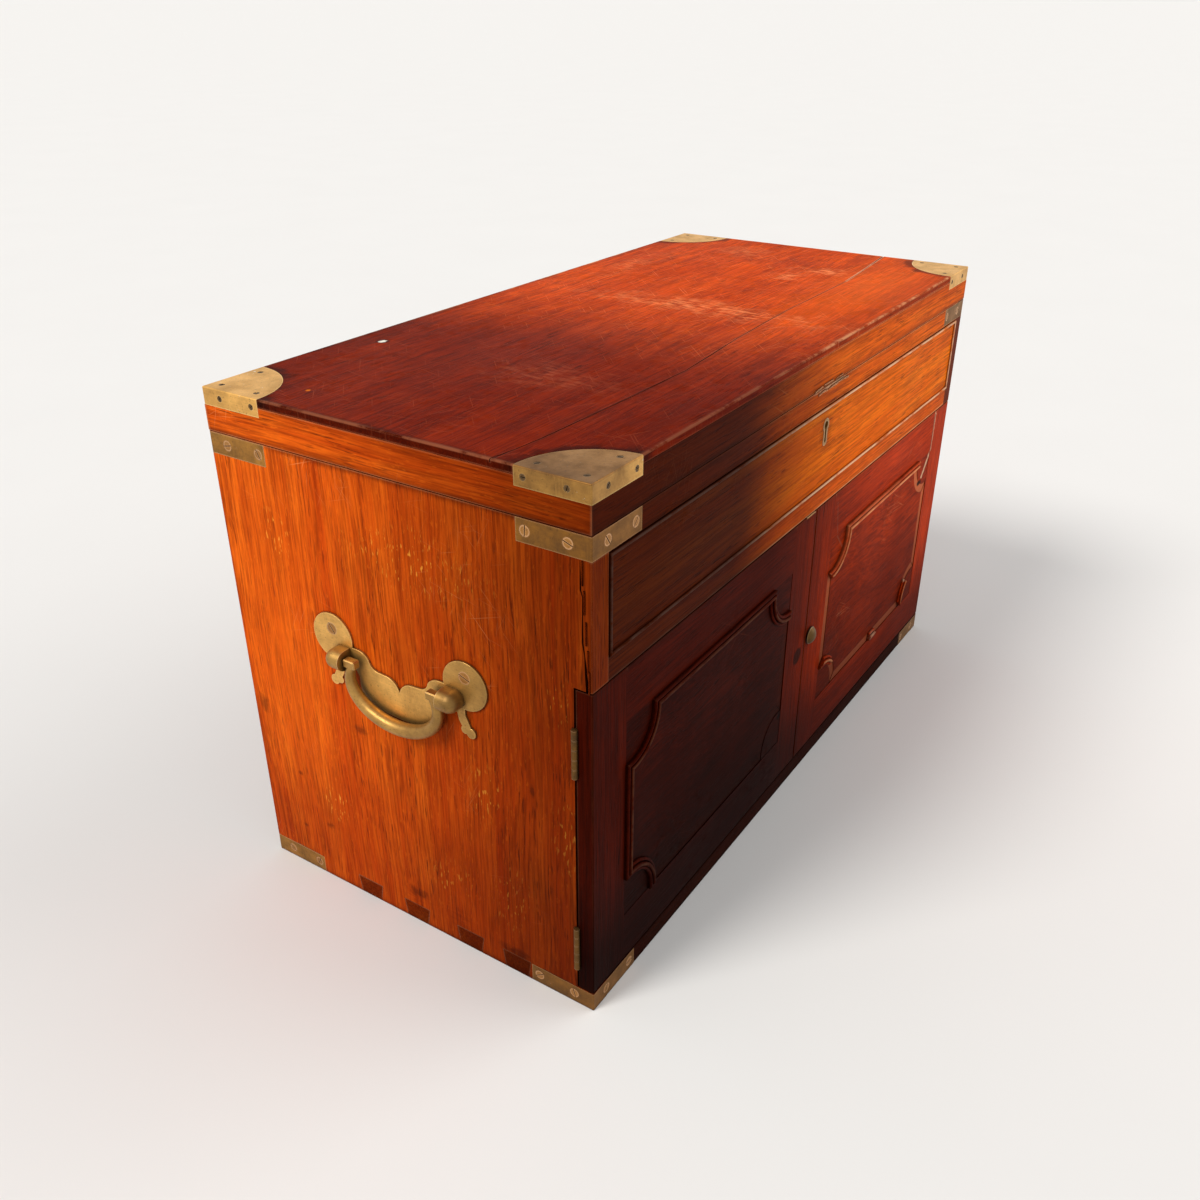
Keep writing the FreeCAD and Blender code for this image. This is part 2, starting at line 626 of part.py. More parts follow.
def post(side):
    """A domed boss with a flat face to the bail, on a stud through the plate into the end."""
    flat = V(0, side * post_flat, 0)
    middle = V(0, side * post_set, 0)
    lift = -X * PIVOT_STAND
    along = tuple(sorted((flat.y, middle.y)))
    dome = Part.makeSphere(POST_RADIUS, middle + lift)
    barrel = rod(flat + lift, V(0, side, 0), POST_RADIUS, POST_BARREL)
    foot = rod(middle + lift, X, POST_RADIUS, PIVOT_STAND)
    web = box((-PIVOT_STAND, 0), along, (-POST_RADIUS, POST_RADIUS))
    stud = rod(middle - X * OVERRUN, X, POST_STUD_RADIUS,
               HANDLE_PLATE_THICKNESS + POST_STUD_LENGTH + OVERRUN)
    beyond = box((0, 2 * POST_RADIUS), (middle.y - 2 * POST_RADIUS, middle.y + 2 * POST_RADIUS),
                 (-2 * POST_RADIUS, 2 * POST_RADIUS))
    hole = rod(flat + lift - Y * side * OVERRUN, V(0, side, 0),
               BAIL_PIN_RADIUS + PIN_FIT, OVERRUN + BAIL_PIN_DEPTH + BAIL_PIN_PLAY)
    return joined([joined([dome, barrel, foot, web]).cut(beyond), stud]).cut(hole)


plate_face = -X_END - HANDLE_PLATE_THICKNESS
handle_origin = V(plate_face, 0, HANDLE_LEVEL)
stud_holes = [rod(V(-OVERRUN, side * post_set, 0), X, POST_STUD_RADIUS + JOINT_FIT,
                  HANDLE_PLATE_THICKNESS + POST_STUD_LENGTH + 2 * OVERRUN) for side in (-1, 1)]
stud_holes = [placed(shape, handle_origin, X, Y, Z) for shape in stud_holes]
rose_places = [(V(plate_face, side * ROSE_SET, HANDLE_LEVEL + ROSE_RISE + ROSE_SCREW_RISE), X)
               for side in (-1, 1)]
rose_screws, rose_holes = screw_row(
    rose_places, ROSE_SCREW_RADIUS, SCREW_SHANK_RADIUS, SCREW_LENGTH)
left_plate = placed(handle_plate(), handle_origin, X, Y, Z).cut(stud_holes + rose_holes)
posts = [placed(post(side), handle_origin, X, Y, Z) for side in (-1, 1)]
posts += [placed(post(side), -handle_origin + Z * 2 * HANDLE_LEVEL, -X, -Y, Z) for side in (-1, 1)]
left_bail = placed(bail(), handle_origin - X * PIVOT_STAND, X, Y, Z)
case_cutters += both_ends(stud_holes + rose_holes)

nodes["handle_plate_left"] = left_plate
nodes["handle_plate_right"] = mirrored(left_plate)
nodes["handle_posts"] = Part.Compound(posts)
nodes["handle_screws"] = Part.Compound(both_ends(rose_screws))
nodes["left_bail"] = left_bail
nodes["right_bail"] = mirrored(left_bail)


# ---------------------------------------------------------------- carcase
first_pin = Y_HINGE_FACE + PIN_FRONT_GAP
pin_room = Y_BACK - PIN_BACK_GAP - first_pin
pin_middles = [first_pin + share * pin_room for share in PIN_SPREAD]


def dovetail_pin(middle, grow):
    """One pin of the bottom board, at the left end: wide at the top, narrow underneath."""
    half = PIN_WIDTH_SHARE * pin_room / 2 + grow
    taper = BOTTOM_THICKNESS / PIN_SLOPE
    x = -X_END - (OVERRUN if grow else 0)
    foot = -(OVERRUN if grow else 0)
    head = BOTTOM_THICKNESS + grow
    points = [V(x, middle - half + taper, foot), V(x, middle + half - taper, foot),
              V(x, middle + half, head), V(x, middle - half, head)]
    return face_of(points).extrude(V(-x - X_INNER + (OVERRUN if grow else 0), 0, 0))


def end_outline():
    """The end board's profile: its front edge is cut back behind the door."""
    foot, head = BOTTOM_THICKNESS, Z_DRAWER_RAIL
    points = [(Y_FRONT, 0), (Y_BACK, 0), (Y_BACK, Z_SEAM), (Y_FRONT, Z_SEAM),
              (Y_FRONT, head), (Y_HINGE_FACE, head), (Y_HINGE_FACE, foot), (Y_FRONT, foot)]
    return [V(-X_END, y, z) for y, z in points]


def split_cutter():
    """The long split beside the drawer, running forward as it goes down."""
    head, foot = top_strap_base - STRAP_MARGIN, Z_DRAWER_RAIL
    run = SPLIT_TOP_SET - SPLIT_FOOT_SET
    steps = ((0.0, 0.0, 0.35), (0.22, 0.05, 0.9), (0.27, 0.36, 0.5), (0.62, 0.3, 1.0),
             (0.72, 0.62, 0.6), (0.86, 0.8, 1.5), (1.0, 1.0, 2.0))
    front, back = [], []
    for down, forward, width in steps:
        y = Y_FRONT + SPLIT_TOP_SET - run * forward
        z = head - (head - foot) * down
        front.append(V(-X_END - OVERRUN, y - width * SPLIT_WIDTH / 2, z))
        back.append(V(-X_END - OVERRUN, y + width * SPLIT_WIDTH / 2, z))
    return face_of(front + back[::-1]).extrude(V(OVERRUN + SPLIT_DEPTH, 0, 0))


def tenoned_rail(base, height, depth):
    """A rail between the ends with a stub tenon let into each."""
    rail = box((-X_INNER, X_INNER), (Y_FRONT, Y_FRONT + depth), (base, base + height))
    rail = softened(rail, SEAM_ARRIS, lambda middle, edge: near(middle.y, Y_FRONT)
                    and near(middle.x, 0))
    tenon = box((-X_INNER - RAIL_TENON, X_INNER + RAIL_TENON),
                (Y_FRONT + 2 * TENON_SHOULDER, Y_FRONT + depth - 2 * TENON_SHOULDER),
                (base + TENON_SHOULDER, base + height - TENON_SHOULDER))
    return joined([rail, tenon])


def tenon_mortise(base, height, depth):
    return box((-X_INNER - RAIL_TENON - JOINT_FIT, -X_INNER + OVERRUN),
               (Y_FRONT + 2 * TENON_SHOULDER - JOINT_FIT,
                Y_FRONT + depth - 2 * TENON_SHOULDER + JOINT_FIT),
               (base + TENON_SHOULDER - JOINT_FIT, base + height - TENON_SHOULDER + JOINT_FIT))


def board_in_grooves(x, y, z, grow):
    """A floor or dust board with its tongues, or its grooves when it is grown."""
    return box((-x - grow, x + grow), (y[0] - grow, y[1] + grow), (z[0] - grow, z[1] + grow))


well_y = (Y_FRONT + TOP_RAIL_DEPTH - TONGUE, Y_BACK_INNER + TONGUE)
well_z = (Z_WELL, Z_WELL + WELL_FLOOR_THICKNESS)
well_floor = board_in_grooves(X_INNER + TONGUE, well_y, well_z, 0)
well_groove = board_in_grooves(X_INNER + TONGUE, well_y, well_z, JOINT_FIT)
runner_x = (-X_INNER, -X_INNER + RUNNER_WIDTH)
runner_y = (Y_FRONT + DRAWER_RAIL_DEPTH, Y_BACK_INNER)
dust_x = X_INNER - RUNNER_WIDTH + TONGUE
dust_y = (Y_FRONT + DRAWER_RAIL_DEPTH - TONGUE, Y_BACK_INNER)
dust_z = (Z_DRAWER - DUST_BOARD_DROP - DUST_BOARD_THICKNESS, Z_DRAWER - DUST_BOARD_DROP)
dust_groove = board_in_grooves(dust_x, dust_y, dust_z, JOINT_FIT)

left_cutters = list(case_cutters)
left_cutters += [dovetail_pin(middle, JOINT_FIT) for middle in pin_middles]
left_cutters.append(tenon_mortise(Z_TOP_RAIL, TOP_RAIL_HEIGHT, TOP_RAIL_DEPTH))
left_cutters.append(tenon_mortise(Z_DRAWER_RAIL, DRAWER_RAIL_HEIGHT, DRAWER_RAIL_DEPTH))
left_cutters.append(well_groove)
left_cutters.append(box((-X_INNER - BACK_REBATE - JOINT_FIT, -X_INNER + OVERRUN),
                        (Y_BACK_INNER - JOINT_FIT, Y_BACK + OVERRUN), (-OVERRUN, Z_SEAM + OVERRUN)))
end_board = face_of(end_outline()).extrude(V(END_THICKNESS, 0, 0))
end_board = softened(end_board, ARRIS, lambda middle, edge: near(middle.x, -X_END)
                     and (near(middle.y, Y_BACK) or near(middle.y, Y_FRONT)))
end_board = softened(end_board, SEAM_ARRIS, lambda middle, edge: near(middle.z, Z_SEAM)
                     and near(middle.x, -X_END) and near(edge.BoundBox.ZLength, 0))
end_board = end_board.cut(left_cutters)
nodes["end_panel_left"] = end_board.cut(split_cutter())
nodes["end_panel_right"] = mirrored(end_board)

bottom_board = box((-X_INNER, X_INNER), (Y_FRONT, Y_BACK_INNER), (0, BOTTOM_THICKNESS))
bottom_board = softened(bottom_board, ARRIS, lambda middle, edge: near(middle.y, Y_FRONT)
                        and near(middle.x, 0))
bottom_pins = both_ends([dovetail_pin(middle, 0) for middle in pin_middles])
nodes["bottom_board"] = joined([bottom_board] + bottom_pins).cut(case_cutters)

back_board = box((-X_INNER - BACK_REBATE, X_INNER + BACK_REBATE), (Y_BACK_INNER, Y_BACK), (0, Z_SEAM))
nodes["back_board"] = back_board.cut(case_cutters + [well_groove])

lock_front = Y_FRONT + DRAWER_FRONT_THICKNESS - LOCK_CASE_DEPTH
bolt_middle_y = lock_front + LOCK_CASE_DEPTH / 2
keep_x = BOLT_WIDTH / 2 + KEEP_MARGIN
keep_y = BOLT_THICKNESS / 2 + BOLT_PLAY + KEEP_BORDER
lock_keep = box((-keep_x, keep_x), (bolt_middle_y - keep_y, bolt_middle_y + keep_y),
                (Z_TOP_RAIL, Z_TOP_RAIL + KEEP_THICKNESS))
keep_recess = box((-keep_x - BRASS_FIT, keep_x + BRASS_FIT),
                  (bolt_middle_y - keep_y - BRASS_FIT, bolt_middle_y + keep_y + BRASS_FIT),
                  (Z_TOP_RAIL - OVERRUN, Z_TOP_RAIL + KEEP_THICKNESS + BRASS_FIT))
bolt_mortise = box((-BOLT_WIDTH / 2 - BOLT_PLAY, BOLT_WIDTH / 2 + BOLT_PLAY),
                   (bolt_middle_y - BOLT_THICKNESS / 2 - BOLT_PLAY,
                    bolt_middle_y + BOLT_THICKNESS / 2 + BOLT_PLAY),
                   (Z_TOP_RAIL - OVERRUN, Z_TOP_RAIL + BOLT_TRAVEL + BOLT_END_PLAY))
top_rail = tenoned_rail(Z_TOP_RAIL, TOP_RAIL_HEIGHT, TOP_RAIL_DEPTH)
nodes["top_rail"] = top_rail.cut(case_cutters + [well_groove, keep_recess, bolt_mortise])

door_bolt_x = -DOOR_GAP / 2 - DOOR_BOLT_SET
door_bolt_y = (Y_DOOR_BACK - BOLT_PLATE_THICKNESS - DOOR_BOLT_THICKNESS - BOLT_PLAY,
               Y_DOOR_BACK - BOLT_PLATE_THICKNESS - BOLT_PLAY)
bolt_keep_x = (door_bolt_x - DOOR_BOLT_WIDTH / 2 - KEEP_MARGIN / 2,
               door_bolt_x + DOOR_BOLT_WIDTH / 2 + KEEP_MARGIN / 2)
bolt_keep_y = (door_bolt_y[0] - BOLT_PLAY - KEEP_BORDER, door_bolt_y[1] + BOLT_PLAY + KEEP_BORDER)
bolt_keep = box(bolt_keep_x, bolt_keep_y, (Z_DRAWER_RAIL, Z_DRAWER_RAIL + KEEP_THICKNESS))
bolt_keep_recess = box((bolt_keep_x[0] - BRASS_FIT, bolt_keep_x[1] + BRASS_FIT),
                       (bolt_keep_y[0] - BRASS_FIT, bolt_keep_y[1] + BRASS_FIT),
                       (Z_DRAWER_RAIL - OVERRUN, Z_DRAWER_RAIL + KEEP_THICKNESS + BRASS_FIT))
bolt_socket = box((door_bolt_x - DOOR_BOLT_WIDTH / 2 - BOLT_PLAY,
                   door_bolt_x + DOOR_BOLT_WIDTH / 2 + BOLT_PLAY),
                  (door_bolt_y[0] - BOLT_PLAY, door_bolt_y[1] + BOLT_PLAY),
                  (Z_DRAWER_RAIL - OVERRUN, Z_DRAWER_RAIL + DOOR_BOLT_TRAVEL + BOLT_END_PLAY))
nodes["bolt_keeps"] = Part.Compound([lock_keep.cut(bolt_mortise), bolt_keep.cut(bolt_socket)])
drawer_rail = tenoned_rail(Z_DRAWER_RAIL, DRAWER_RAIL_HEIGHT, DRAWER_RAIL_DEPTH)
nodes["drawer_rail"] = drawer_rail.cut([dust_groove, bolt_keep_recess, bolt_socket])

nodes["well_floor"] = well_floor
nodes["dust_board"] = board_in_grooves(dust_x, dust_y, dust_z, 0)
runner = box(runner_x, runner_y, (Z_DRAWER - RUNNER_HEIGHT, Z_DRAWER)).cut(dust_groove)
nodes["drawer_runners"] = Part.Compound(both_ends([runner]))
stop_y = Y_FRONT + DRAWER_FRONT_THICKNESS + STOP_PLAY
stop_blocks = [box((middle - STOP_BLOCK_LENGTH / 2, middle + STOP_BLOCK_LENGTH / 2),
                   (stop_y, stop_y + STOP_BLOCK_DEPTH), (Z_DRAWER, Z_DRAWER + STOP_BLOCK_HEIGHT))
               for middle in (-STOP_BLOCK_SPACING / 2, STOP_BLOCK_SPACING / 2)]
nodes["drawer_stops"] = Part.Compound(stop_blocks)
door_stop_y = Y_DOOR_BACK + DOOR_STOP_PLAY
nodes["door_stop"] = box((-DOOR_STOP_LENGTH / 2, DOOR_STOP_LENGTH / 2),
                         (door_stop_y, door_stop_y + DOOR_STOP_DEPTH),
                         (Z_DRAWER_RAIL - DOOR_STOP_HEIGHT, Z_DRAWER_RAIL))


# ---------------------------------------------------------------- lid
def mitred_rim(half_length, half_depth):
    """The four mitred sides of the lid's rim, as four trapezoids on their edges."""
    t = LID_RIM_THICKNESS
    corners = [V(-half_length, -half_depth, Z_LID), V(half_length, -half_depth, Z_LID),
               V(half_length, half_depth, Z_LID), V(-half_length, half_depth, Z_LID)]
    inner = [V(-half_length + t, -half_depth + t, Z_LID), V(half_length - t, -half_depth + t, Z_LID),
             V(half_length - t, half_depth - t, Z_LID), V(-half_length + t, half_depth - t, Z_LID)]
    sides = {}
    for count, name in enumerate(("front", "right", "back", "left")):
        after = (count + 1) % 4
        outline = [corners[count], corners[after], inner[after], inner[count]]
        side = face_of(outline).extrude(V(0, 0, Z_LID_BOARD - Z_LID))
        outer = (corners[count] + corners[after]) * 0.5
        sides[name] = softened(side, SEAM_ARRIS, lambda middle, edge: near(middle.x, outer.x)
                               and near(middle.y, outer.y) and edge.Length > t * 2)
    return sides


rim = mitred_rim(X_END, Y_BACK)
nodes["lid_rim_front"] = rim["front"].cut(lid_cutters)
nodes["lid_rim_back"] = rim["back"].cut(lid_cutters)
nodes["lid_rim_ends"] = Part.Compound([rim["left"].cut(lid_cutters), rim["right"].cut(lid_cutters)])
def top_split_cutter():
    """The long wavering split in the lid's top board."""
    front, back = [], []
    for along, inset, width in TOP_SPLIT:
        front.append(V(along - X_END, Y_FRONT + inset - width / 2, Z_TOP + OVERRUN))
        back.append(V(along - X_END, Y_FRONT + inset + width / 2, Z_TOP + OVERRUN))
    return face_of(front + back[::-1]).extrude(V(0, 0, -TOP_SPLIT_DEPTH - OVERRUN))


lid_board = box((-X_END, X_END), (Y_FRONT, Y_BACK), (Z_LID_BOARD, Z_TOP))
lid_board = softened(lid_board, ARRIS, lambda middle, edge: near(middle.z, Z_TOP))
lid_board = softened(lid_board, SEAM_ARRIS, lambda middle, edge: near(middle.z, Z_LID_BOARD))
nodes["lid_board"] = lid_board.cut(lid_cutters + [top_split_cutter()])


# ---------------------------------------------------------------- drawer
front_x = X_INNER - DRAWER_GAP
front_z = (Z_DRAWER + DRAWER_GAP, Z_TOP_RAIL - DRAWER_GAP)
side_x = X_INNER - DRAWER_SIDE_PLAY
side_z = (Z_DRAWER + DRAWER_RUN_PLAY, Z_DRAWER + DRAWER_RUN_PLAY + DRAWER_SIDE_HEIGHT)
drawer_back_y = Y_BACK_INNER - DRAWER_BACK_SPACE
front_back_y = Y_FRONT + DRAWER_FRONT_THICKNESS
bottom_z = (side_z[0] + DRAWER_BOTTOM_RISE, side_z[0] + DRAWER_BOTTOM_RISE + DRAWER_BOTTOM_THICKNESS)


def cockbead_ring(grow):
    """The bead let in round the drawer front, as one frame."""
    t = COCKBEAD_THICKNESS + grow
    y = (Y_FRONT - (OVERRUN if grow else COCKBEAD_STAND), Y_FRONT + COCKBEAD_DEPTH + grow)
    outer = box((-front_x - grow, front_x + grow), y, (front_z[0] - grow, front_z[1] + grow))
    inner = box((-front_x + t, front_x - t), (y[0] - OVERRUN, y[1] + OVERRUN),
                (front_z[0] + t, front_z[1] - t))
    return outer.cut(inner)


def cockbeads():
    """Four mitred strips with a rounded nose."""
    t = COCKBEAD_THICKNESS
    nose_y = Y_FRONT - COCKBEAD_STAND + t / 2
    y = (nose_y, Y_FRONT + COCKBEAD_DEPTH)
    low, high = front_z
    x = (-front_x, front_x)
    strips = []
    for base in (low, high - t):
        strip = joined([box(x, y, (base, base + t)),
                        rod(V(x[0], nose_y, base + t / 2), X, t / 2, x[1] - x[0])])
        strips.append(strip)
    upright = joined([box((x[0], x[0] + t), y, front_z),
                      rod(V(x[0] + t / 2, nose_y, low), Z, t / 2, high - low)])
    start = Y_FRONT - COCKBEAD_STAND - OVERRUN
    depth = V(0, COCKBEAD_DEPTH + COCKBEAD_STAND + 2 * OVERRUN, 0)
    for count, (edge, inner) in enumerate(((low, low + t), (high, high - t))):
        mitre = face_of([V(x[0], start, edge), V(x[1], start, edge),
                         V(x[1] - t, start, inner), V(x[0] + t, start, inner)]).extrude(depth)
        strips[count] = strips[count].common(mitre)
    mitre = face_of([V(x[0], start, low), V(x[0] + t, start, low + t),
                     V(x[0] + t, start, high - t), V(x[0], start, high)]).extrude(depth)
    uprights = both_ends([upright.common(mitre)])
    return strips + uprights


def drawer_tails(grow):
    """The tails at the front of the left side, let into the drawer front."""
    pitch = DRAWER_SIDE_HEIGHT / DRAWER_TAILS
    tails = []
    for count in range(DRAWER_TAILS):
        middle = side_z[0] + pitch * (count + 0.5)
        wide = DRAWER_TAIL_WIDTH / 2 + grow
        narrow = wide - DRAWER_TAIL_LENGTH / PIN_SLOPE
        y = (front_back_y - DRAWER_TAIL_LENGTH - grow, front_back_y + (OVERRUN if grow else 0))
        x = -side_x - (OVERRUN if grow else 0)
        points = [V(x, y[0], middle - wide), V(x, y[1], middle - narrow),
                  V(x, y[1], middle + narrow), V(x, y[0], middle + wide)]
        length = DRAWER_SIDE_THICKNESS + (OVERRUN + grow if grow else 0)
        tails.append(face_of(points).extrude(V(length, 0, 0)))
    return tails


def keyhole(grow, y):
    """The key's way in: a round hole over a narrower slot with a round foot."""
    pin = V(0, y[0], KEYHOLE_LEVEL)
    foot = V(0, y[0], KEYHOLE_LEVEL - KEYHOLE_DROP + KEYHOLE_SLOT / 2)
    half = KEYHOLE_SLOT / 2 + grow
    slot = box((-half, half), y, (foot.z, pin.z))
    return joined([rod(pin, Y, KEYHOLE_RADIUS + grow, y[1] - y[0]), slot,
                   rod(foot, Y, half * 1.15, y[1] - y[0])])


lock_x = LOCK_WIDTH / 2
lock_z = (front_z[1] - LOCK_HEIGHT, front_z[1])
lock_case = box((-lock_x, lock_x), (lock_front, front_back_y), lock_z)
lock_recess = box((-lock_x - BRASS_FIT, lock_x + BRASS_FIT), (lock_front - BRASS_FIT, front_back_y + OVERRUN),
                  (lock_z[0] - BRASS_FIT, lock_z[1] + OVERRUN))
bolt_x = BOLT_WIDTH / 2
bolt_y = (bolt_middle_y - BOLT_THICKNESS / 2, bolt_middle_y + BOLT_THICKNESS / 2)
bolt_top = front_z[1] - BOLT_PLAY
lock_bolt = box((-bolt_x, bolt_x), bolt_y, (bolt_top - BOLT_HEIGHT, bolt_top))
bolt_way = box((-bolt_x - BOLT_PLAY, bolt_x + BOLT_PLAY), (bolt_y[0] - BOLT_PLAY, bolt_y[1] + BOLT_PLAY),
               (bolt_top - BOLT_HEIGHT - BOLT_PLAY, front_z[1] + OVERRUN))
key_way = keyhole(0, (lock_front - OVERRUN, front_back_y - LOCK_SELVEDGE))
lock_pin = rod(V(0, lock_front, KEYHOLE_LEVEL), Y, LOCK_PIN_RADIUS, LOCK_CASE_DEPTH)
lock_places = [(V(side * (lock_x - LOCK_SCREW_INSET), front_back_y, lock_z[0] + rise), V(0, -1, 0))
               for side in (-1, 1) for rise in (LOCK_SCREW_INSET, LOCK_HEIGHT - 2 * LOCK_SCREW_INSET)]
lock_screws, lock_holes = screw_row(
    lock_places, SMALL_HEAD_RADIUS, SMALL_SHANK_RADIUS, SMALL_SCREW_LENGTH)
nodes["drawer_lock"] = joined([lock_case.cut([bolt_way, key_way] + lock_holes), lock_pin])
nodes["drawer_lock_bolt"] = lock_bolt
nodes["drawer_lock_screws"] = Part.Compound(lock_screws)
liner_y = (Y_FRONT - ESCUTCHEON_STAND, Y_FRONT + ESCUTCHEON_DEPTH)
liner = keyhole(ESCUTCHEON_RIM, liner_y).cut(keyhole(0, (liner_y[0] - 1, liner_y[1] + 1)))
liner_room_y = (Y_FRONT - OVERRUN, Y_FRONT + ESCUTCHEON_DEPTH + JOINT_FIT)
nodes["drawer_escutcheon"] = liner

drawer_bottom = box((-side_x + DRAWER_SIDE_THICKNESS - TONGUE, side_x - DRAWER_SIDE_THICKNESS + TONGUE),
                    (front_back_y - TONGUE, drawer_back_y), bottom_z)
bottom_groove = box((-side_x + DRAWER_SIDE_THICKNESS - TONGUE - JOINT_FIT,
                     side_x - DRAWER_SIDE_THICKNESS + TONGUE + JOINT_FIT),
                    (front_back_y - TONGUE - JOINT_FIT, drawer_back_y + OVERRUN),
                    (bottom_z[0] - JOINT_FIT, bottom_z[1] + JOINT_FIT))
drawer_front = box((-front_x, front_x), (Y_FRONT, front_back_y), front_z)
front_cutters = [cockbead_ring(JOINT_FIT), lock_recess, bottom_groove,
                 keyhole(0, (Y_FRONT - OVERRUN, front_back_y)),
                 keyhole(ESCUTCHEON_RIM + JOINT_FIT, liner_room_y)]
front_cutters += lock_holes + both_ends(drawer_tails(JOINT_FIT))
nodes["drawer_front"] = drawer_front.cut(front_cutters)
drawer_side = box((-side_x, -side_x + DRAWER_SIDE_THICKNESS), (front_back_y, drawer_back_y), side_z)
drawer_side = joined([drawer_side] + drawer_tails(0)).cut(bottom_groove)
nodes["drawer_sides"] = Part.Compound(both_ends([drawer_side]))
back_x = side_x - DRAWER_SIDE_THICKNESS
nodes["drawer_back"] = box((-back_x, back_x), (drawer_back_y - DRAWER_SIDE_THICKNESS, drawer_back_y),
                           (bottom_z[1] + JOINT_FIT, side_z[1] - DRAWER_BACK_DROP))
nodes["drawer_bottom"] = drawer_bottom
nodes["drawer_cockbeads"] = Part.Compound(cockbeads())


# ---------------------------------------------------------------- doors
door_x = (-X_END, -DOOR_GAP / 2)
opening_x = (door_x[0] + STILE_WIDTH, door_x[1] - STILE_WIDTH)
opening_z = (Z_DOOR + DOOR_RAIL_WIDTH, Z_DOOR_TOP - DOOR_RAIL_WIDTH)
panel_face_y = Y_FRONT + PANEL_SINK
tongue_y = (panel_face_y + (PANEL_THICKNESS - PANEL_TONGUE_THICKNESS) / 2,
            panel_face_y + (PANEL_THICKNESS + PANEL_TONGUE_THICKNESS) / 2)


def mould_profile(origin, inward):
    """The reeded section, seated in its housing, its outer edge at the origin."""
    def at(across, proud):
        return origin + inward * across - Y * proud

    reed = MOULD_WIDTH / len(REED_HEIGHTS)
    swell = reed * REED_SWELL
    edges = []
    level = -MOULD_SET
    for count, share in enumerate(REED_HEIGHTS):
        crown = MOULD_HEIGHT * share
        base = crown - swell
        first, last = count * reed, (count + 1) * reed
        edges.append(Part.makeLine(at(first, level), at(first, base)))
        edges.append(Part.Arc(at(first, base), at(first + reed / 2, crown), at(last, base)).toShape())
        level = base
    edges.append(Part.makeLine(at(MOULD_WIDTH, level), at(MOULD_WIDTH, -MOULD_SET)))
    edges.append(Part.makeLine(at(MOULD_WIDTH, -MOULD_SET), at(0, -MOULD_SET)))
    return Part.Face(Part.Wire(edges))


def housing_profile(origin, inward):
    """The section of the shallow housing that a moulding sits in."""
    outer, inner = origin - inward * JOINT_FIT, origin + inward * (MOULD_WIDTH + JOINT_FIT)
    return face_of([outer + Y * MOULD_SET, inner + Y * MOULD_SET, inner - Y, outer - Y])


def mould_straight(section, first, last, inward, keep=(0.0, 1.0)):
    """A length of a section between two outer mitre points, its ends cut at 45 degrees.

    keep is the share of the length that is still there.
    """
    along = (last - first).normalize()
    length = (last - first).Length
    strip = section(first - along * MOULD_WIDTH, inward).extrude(along * (length + 2 * MOULD_WIDTH))
    if keep != (0.0, 1.0):
        first, last = first + along * length * keep[0], first + along * length * keep[1]
        corners = [first, last, last + inward * MOULD_WIDTH, first + inward * MOULD_WIDTH]
    else:
        grown = MOULD_WIDTH + 2 * JOINT_FIT
        first, last = (point - inward * JOINT_FIT for point in (first, last))
        corners = [first, last, last + (inward - along) * grown, first + (inward + along) * grown]
    corners = [point - Y * (MOULD_HEIGHT + 1) for point in corners]
    return strip.common(face_of(corners).extrude(Y * (MOULD_HEIGHT + 2)))


def mould_scoop(section, centre, side_x, side_z, keep=(0.0, 1.0)):
    """A hollow corner of a section round its centre, mitred to both neighbours.

    keep is the share of the quarter turn that is still there.
    """
    half = MOULD_WIDTH / 2
    spread = math.degrees(math.asin(MOULD_WIDTH / MOULD_SCOOP))
    inward = V(-side_x, 0, 0)
    turn = -side_x * side_z
    first = -spread if keep[0] == 0 else 90.0 * keep[0]
    last = 90.0 + spread if keep[1] == 1 else 90.0 * keep[1]
    profile = section(centre + inward * (MOULD_SCOOP - half), inward)
    profile.rotate(centre, Y, turn * first)
    sector = profile.revolve(centre, V(0, turn, 0), last - first)
    reach = 2 * MOULD_SCOOP
    band = box((-MOULD_SCOOP / math.sqrt(2), MOULD_SCOOP / math.sqrt(2)),
               (-MOULD_HEIGHT - 1, 1), (-reach, reach))
    band.rotate(V(0, 0, 0), Y, 45.0 * side_x * side_z)
    band.translate(centre)
    return sector.common(band)


def moulding_lengths(section, x, z, broken):
    """Four straights and four hollow corners round one panel, by name.

    broken gives the share that is left of a broken one.
    """
    y = panel_face_y
    half = MOULD_WIDTH / 2
    low_x, high_x = x
    low_z, high_z = z
    reach = MOULD_SCOOP
    straights = {
        "top": (V(low_x + reach, y, high_z), V(high_x - reach, y, high_z), V(0, 0, -1)),
        "right": (V(high_x, y, high_z - reach), V(high_x, y, low_z + reach), V(-1, 0, 0)),
        "bottom": (V(low_x + reach, y, low_z), V(high_x - reach, y, low_z), V(0, 0, 1)),
        "left": (V(low_x, y, low_z + reach), V(low_x, y, high_z - reach), V(1, 0, 0))}
    lengths = {name: mould_straight(section, *ends, broken.get(name, (0.0, 1.0)))
               for name, ends in straights.items()}
    for side_x, end in ((-1, "left"), (1, "right")):
        for side_z, level in ((-1, "bottom"), (1, "top")):
            centre = V((high_x if side_x > 0 else low_x) - side_x * half, y,
                       (high_z if side_z > 0 else low_z) - side_z * half)
            name = end + " " + level
            lengths[name] = mould_scoop(section, centre, side_x, side_z, broken.get(name, (0.0, 1.0)))
    opening = box(x, (y - MOULD_HEIGHT - 1, y + 1), z)
    return {name: shape.common(opening) for name, shape in lengths.items()}


def mouldings(x, z, lost, broken):
    """The lengths of moulding that one door still has."""
    lengths = moulding_lengths(mould_profile, x, z, broken)
    return [shape for name, shape in lengths.items() if name not in lost]


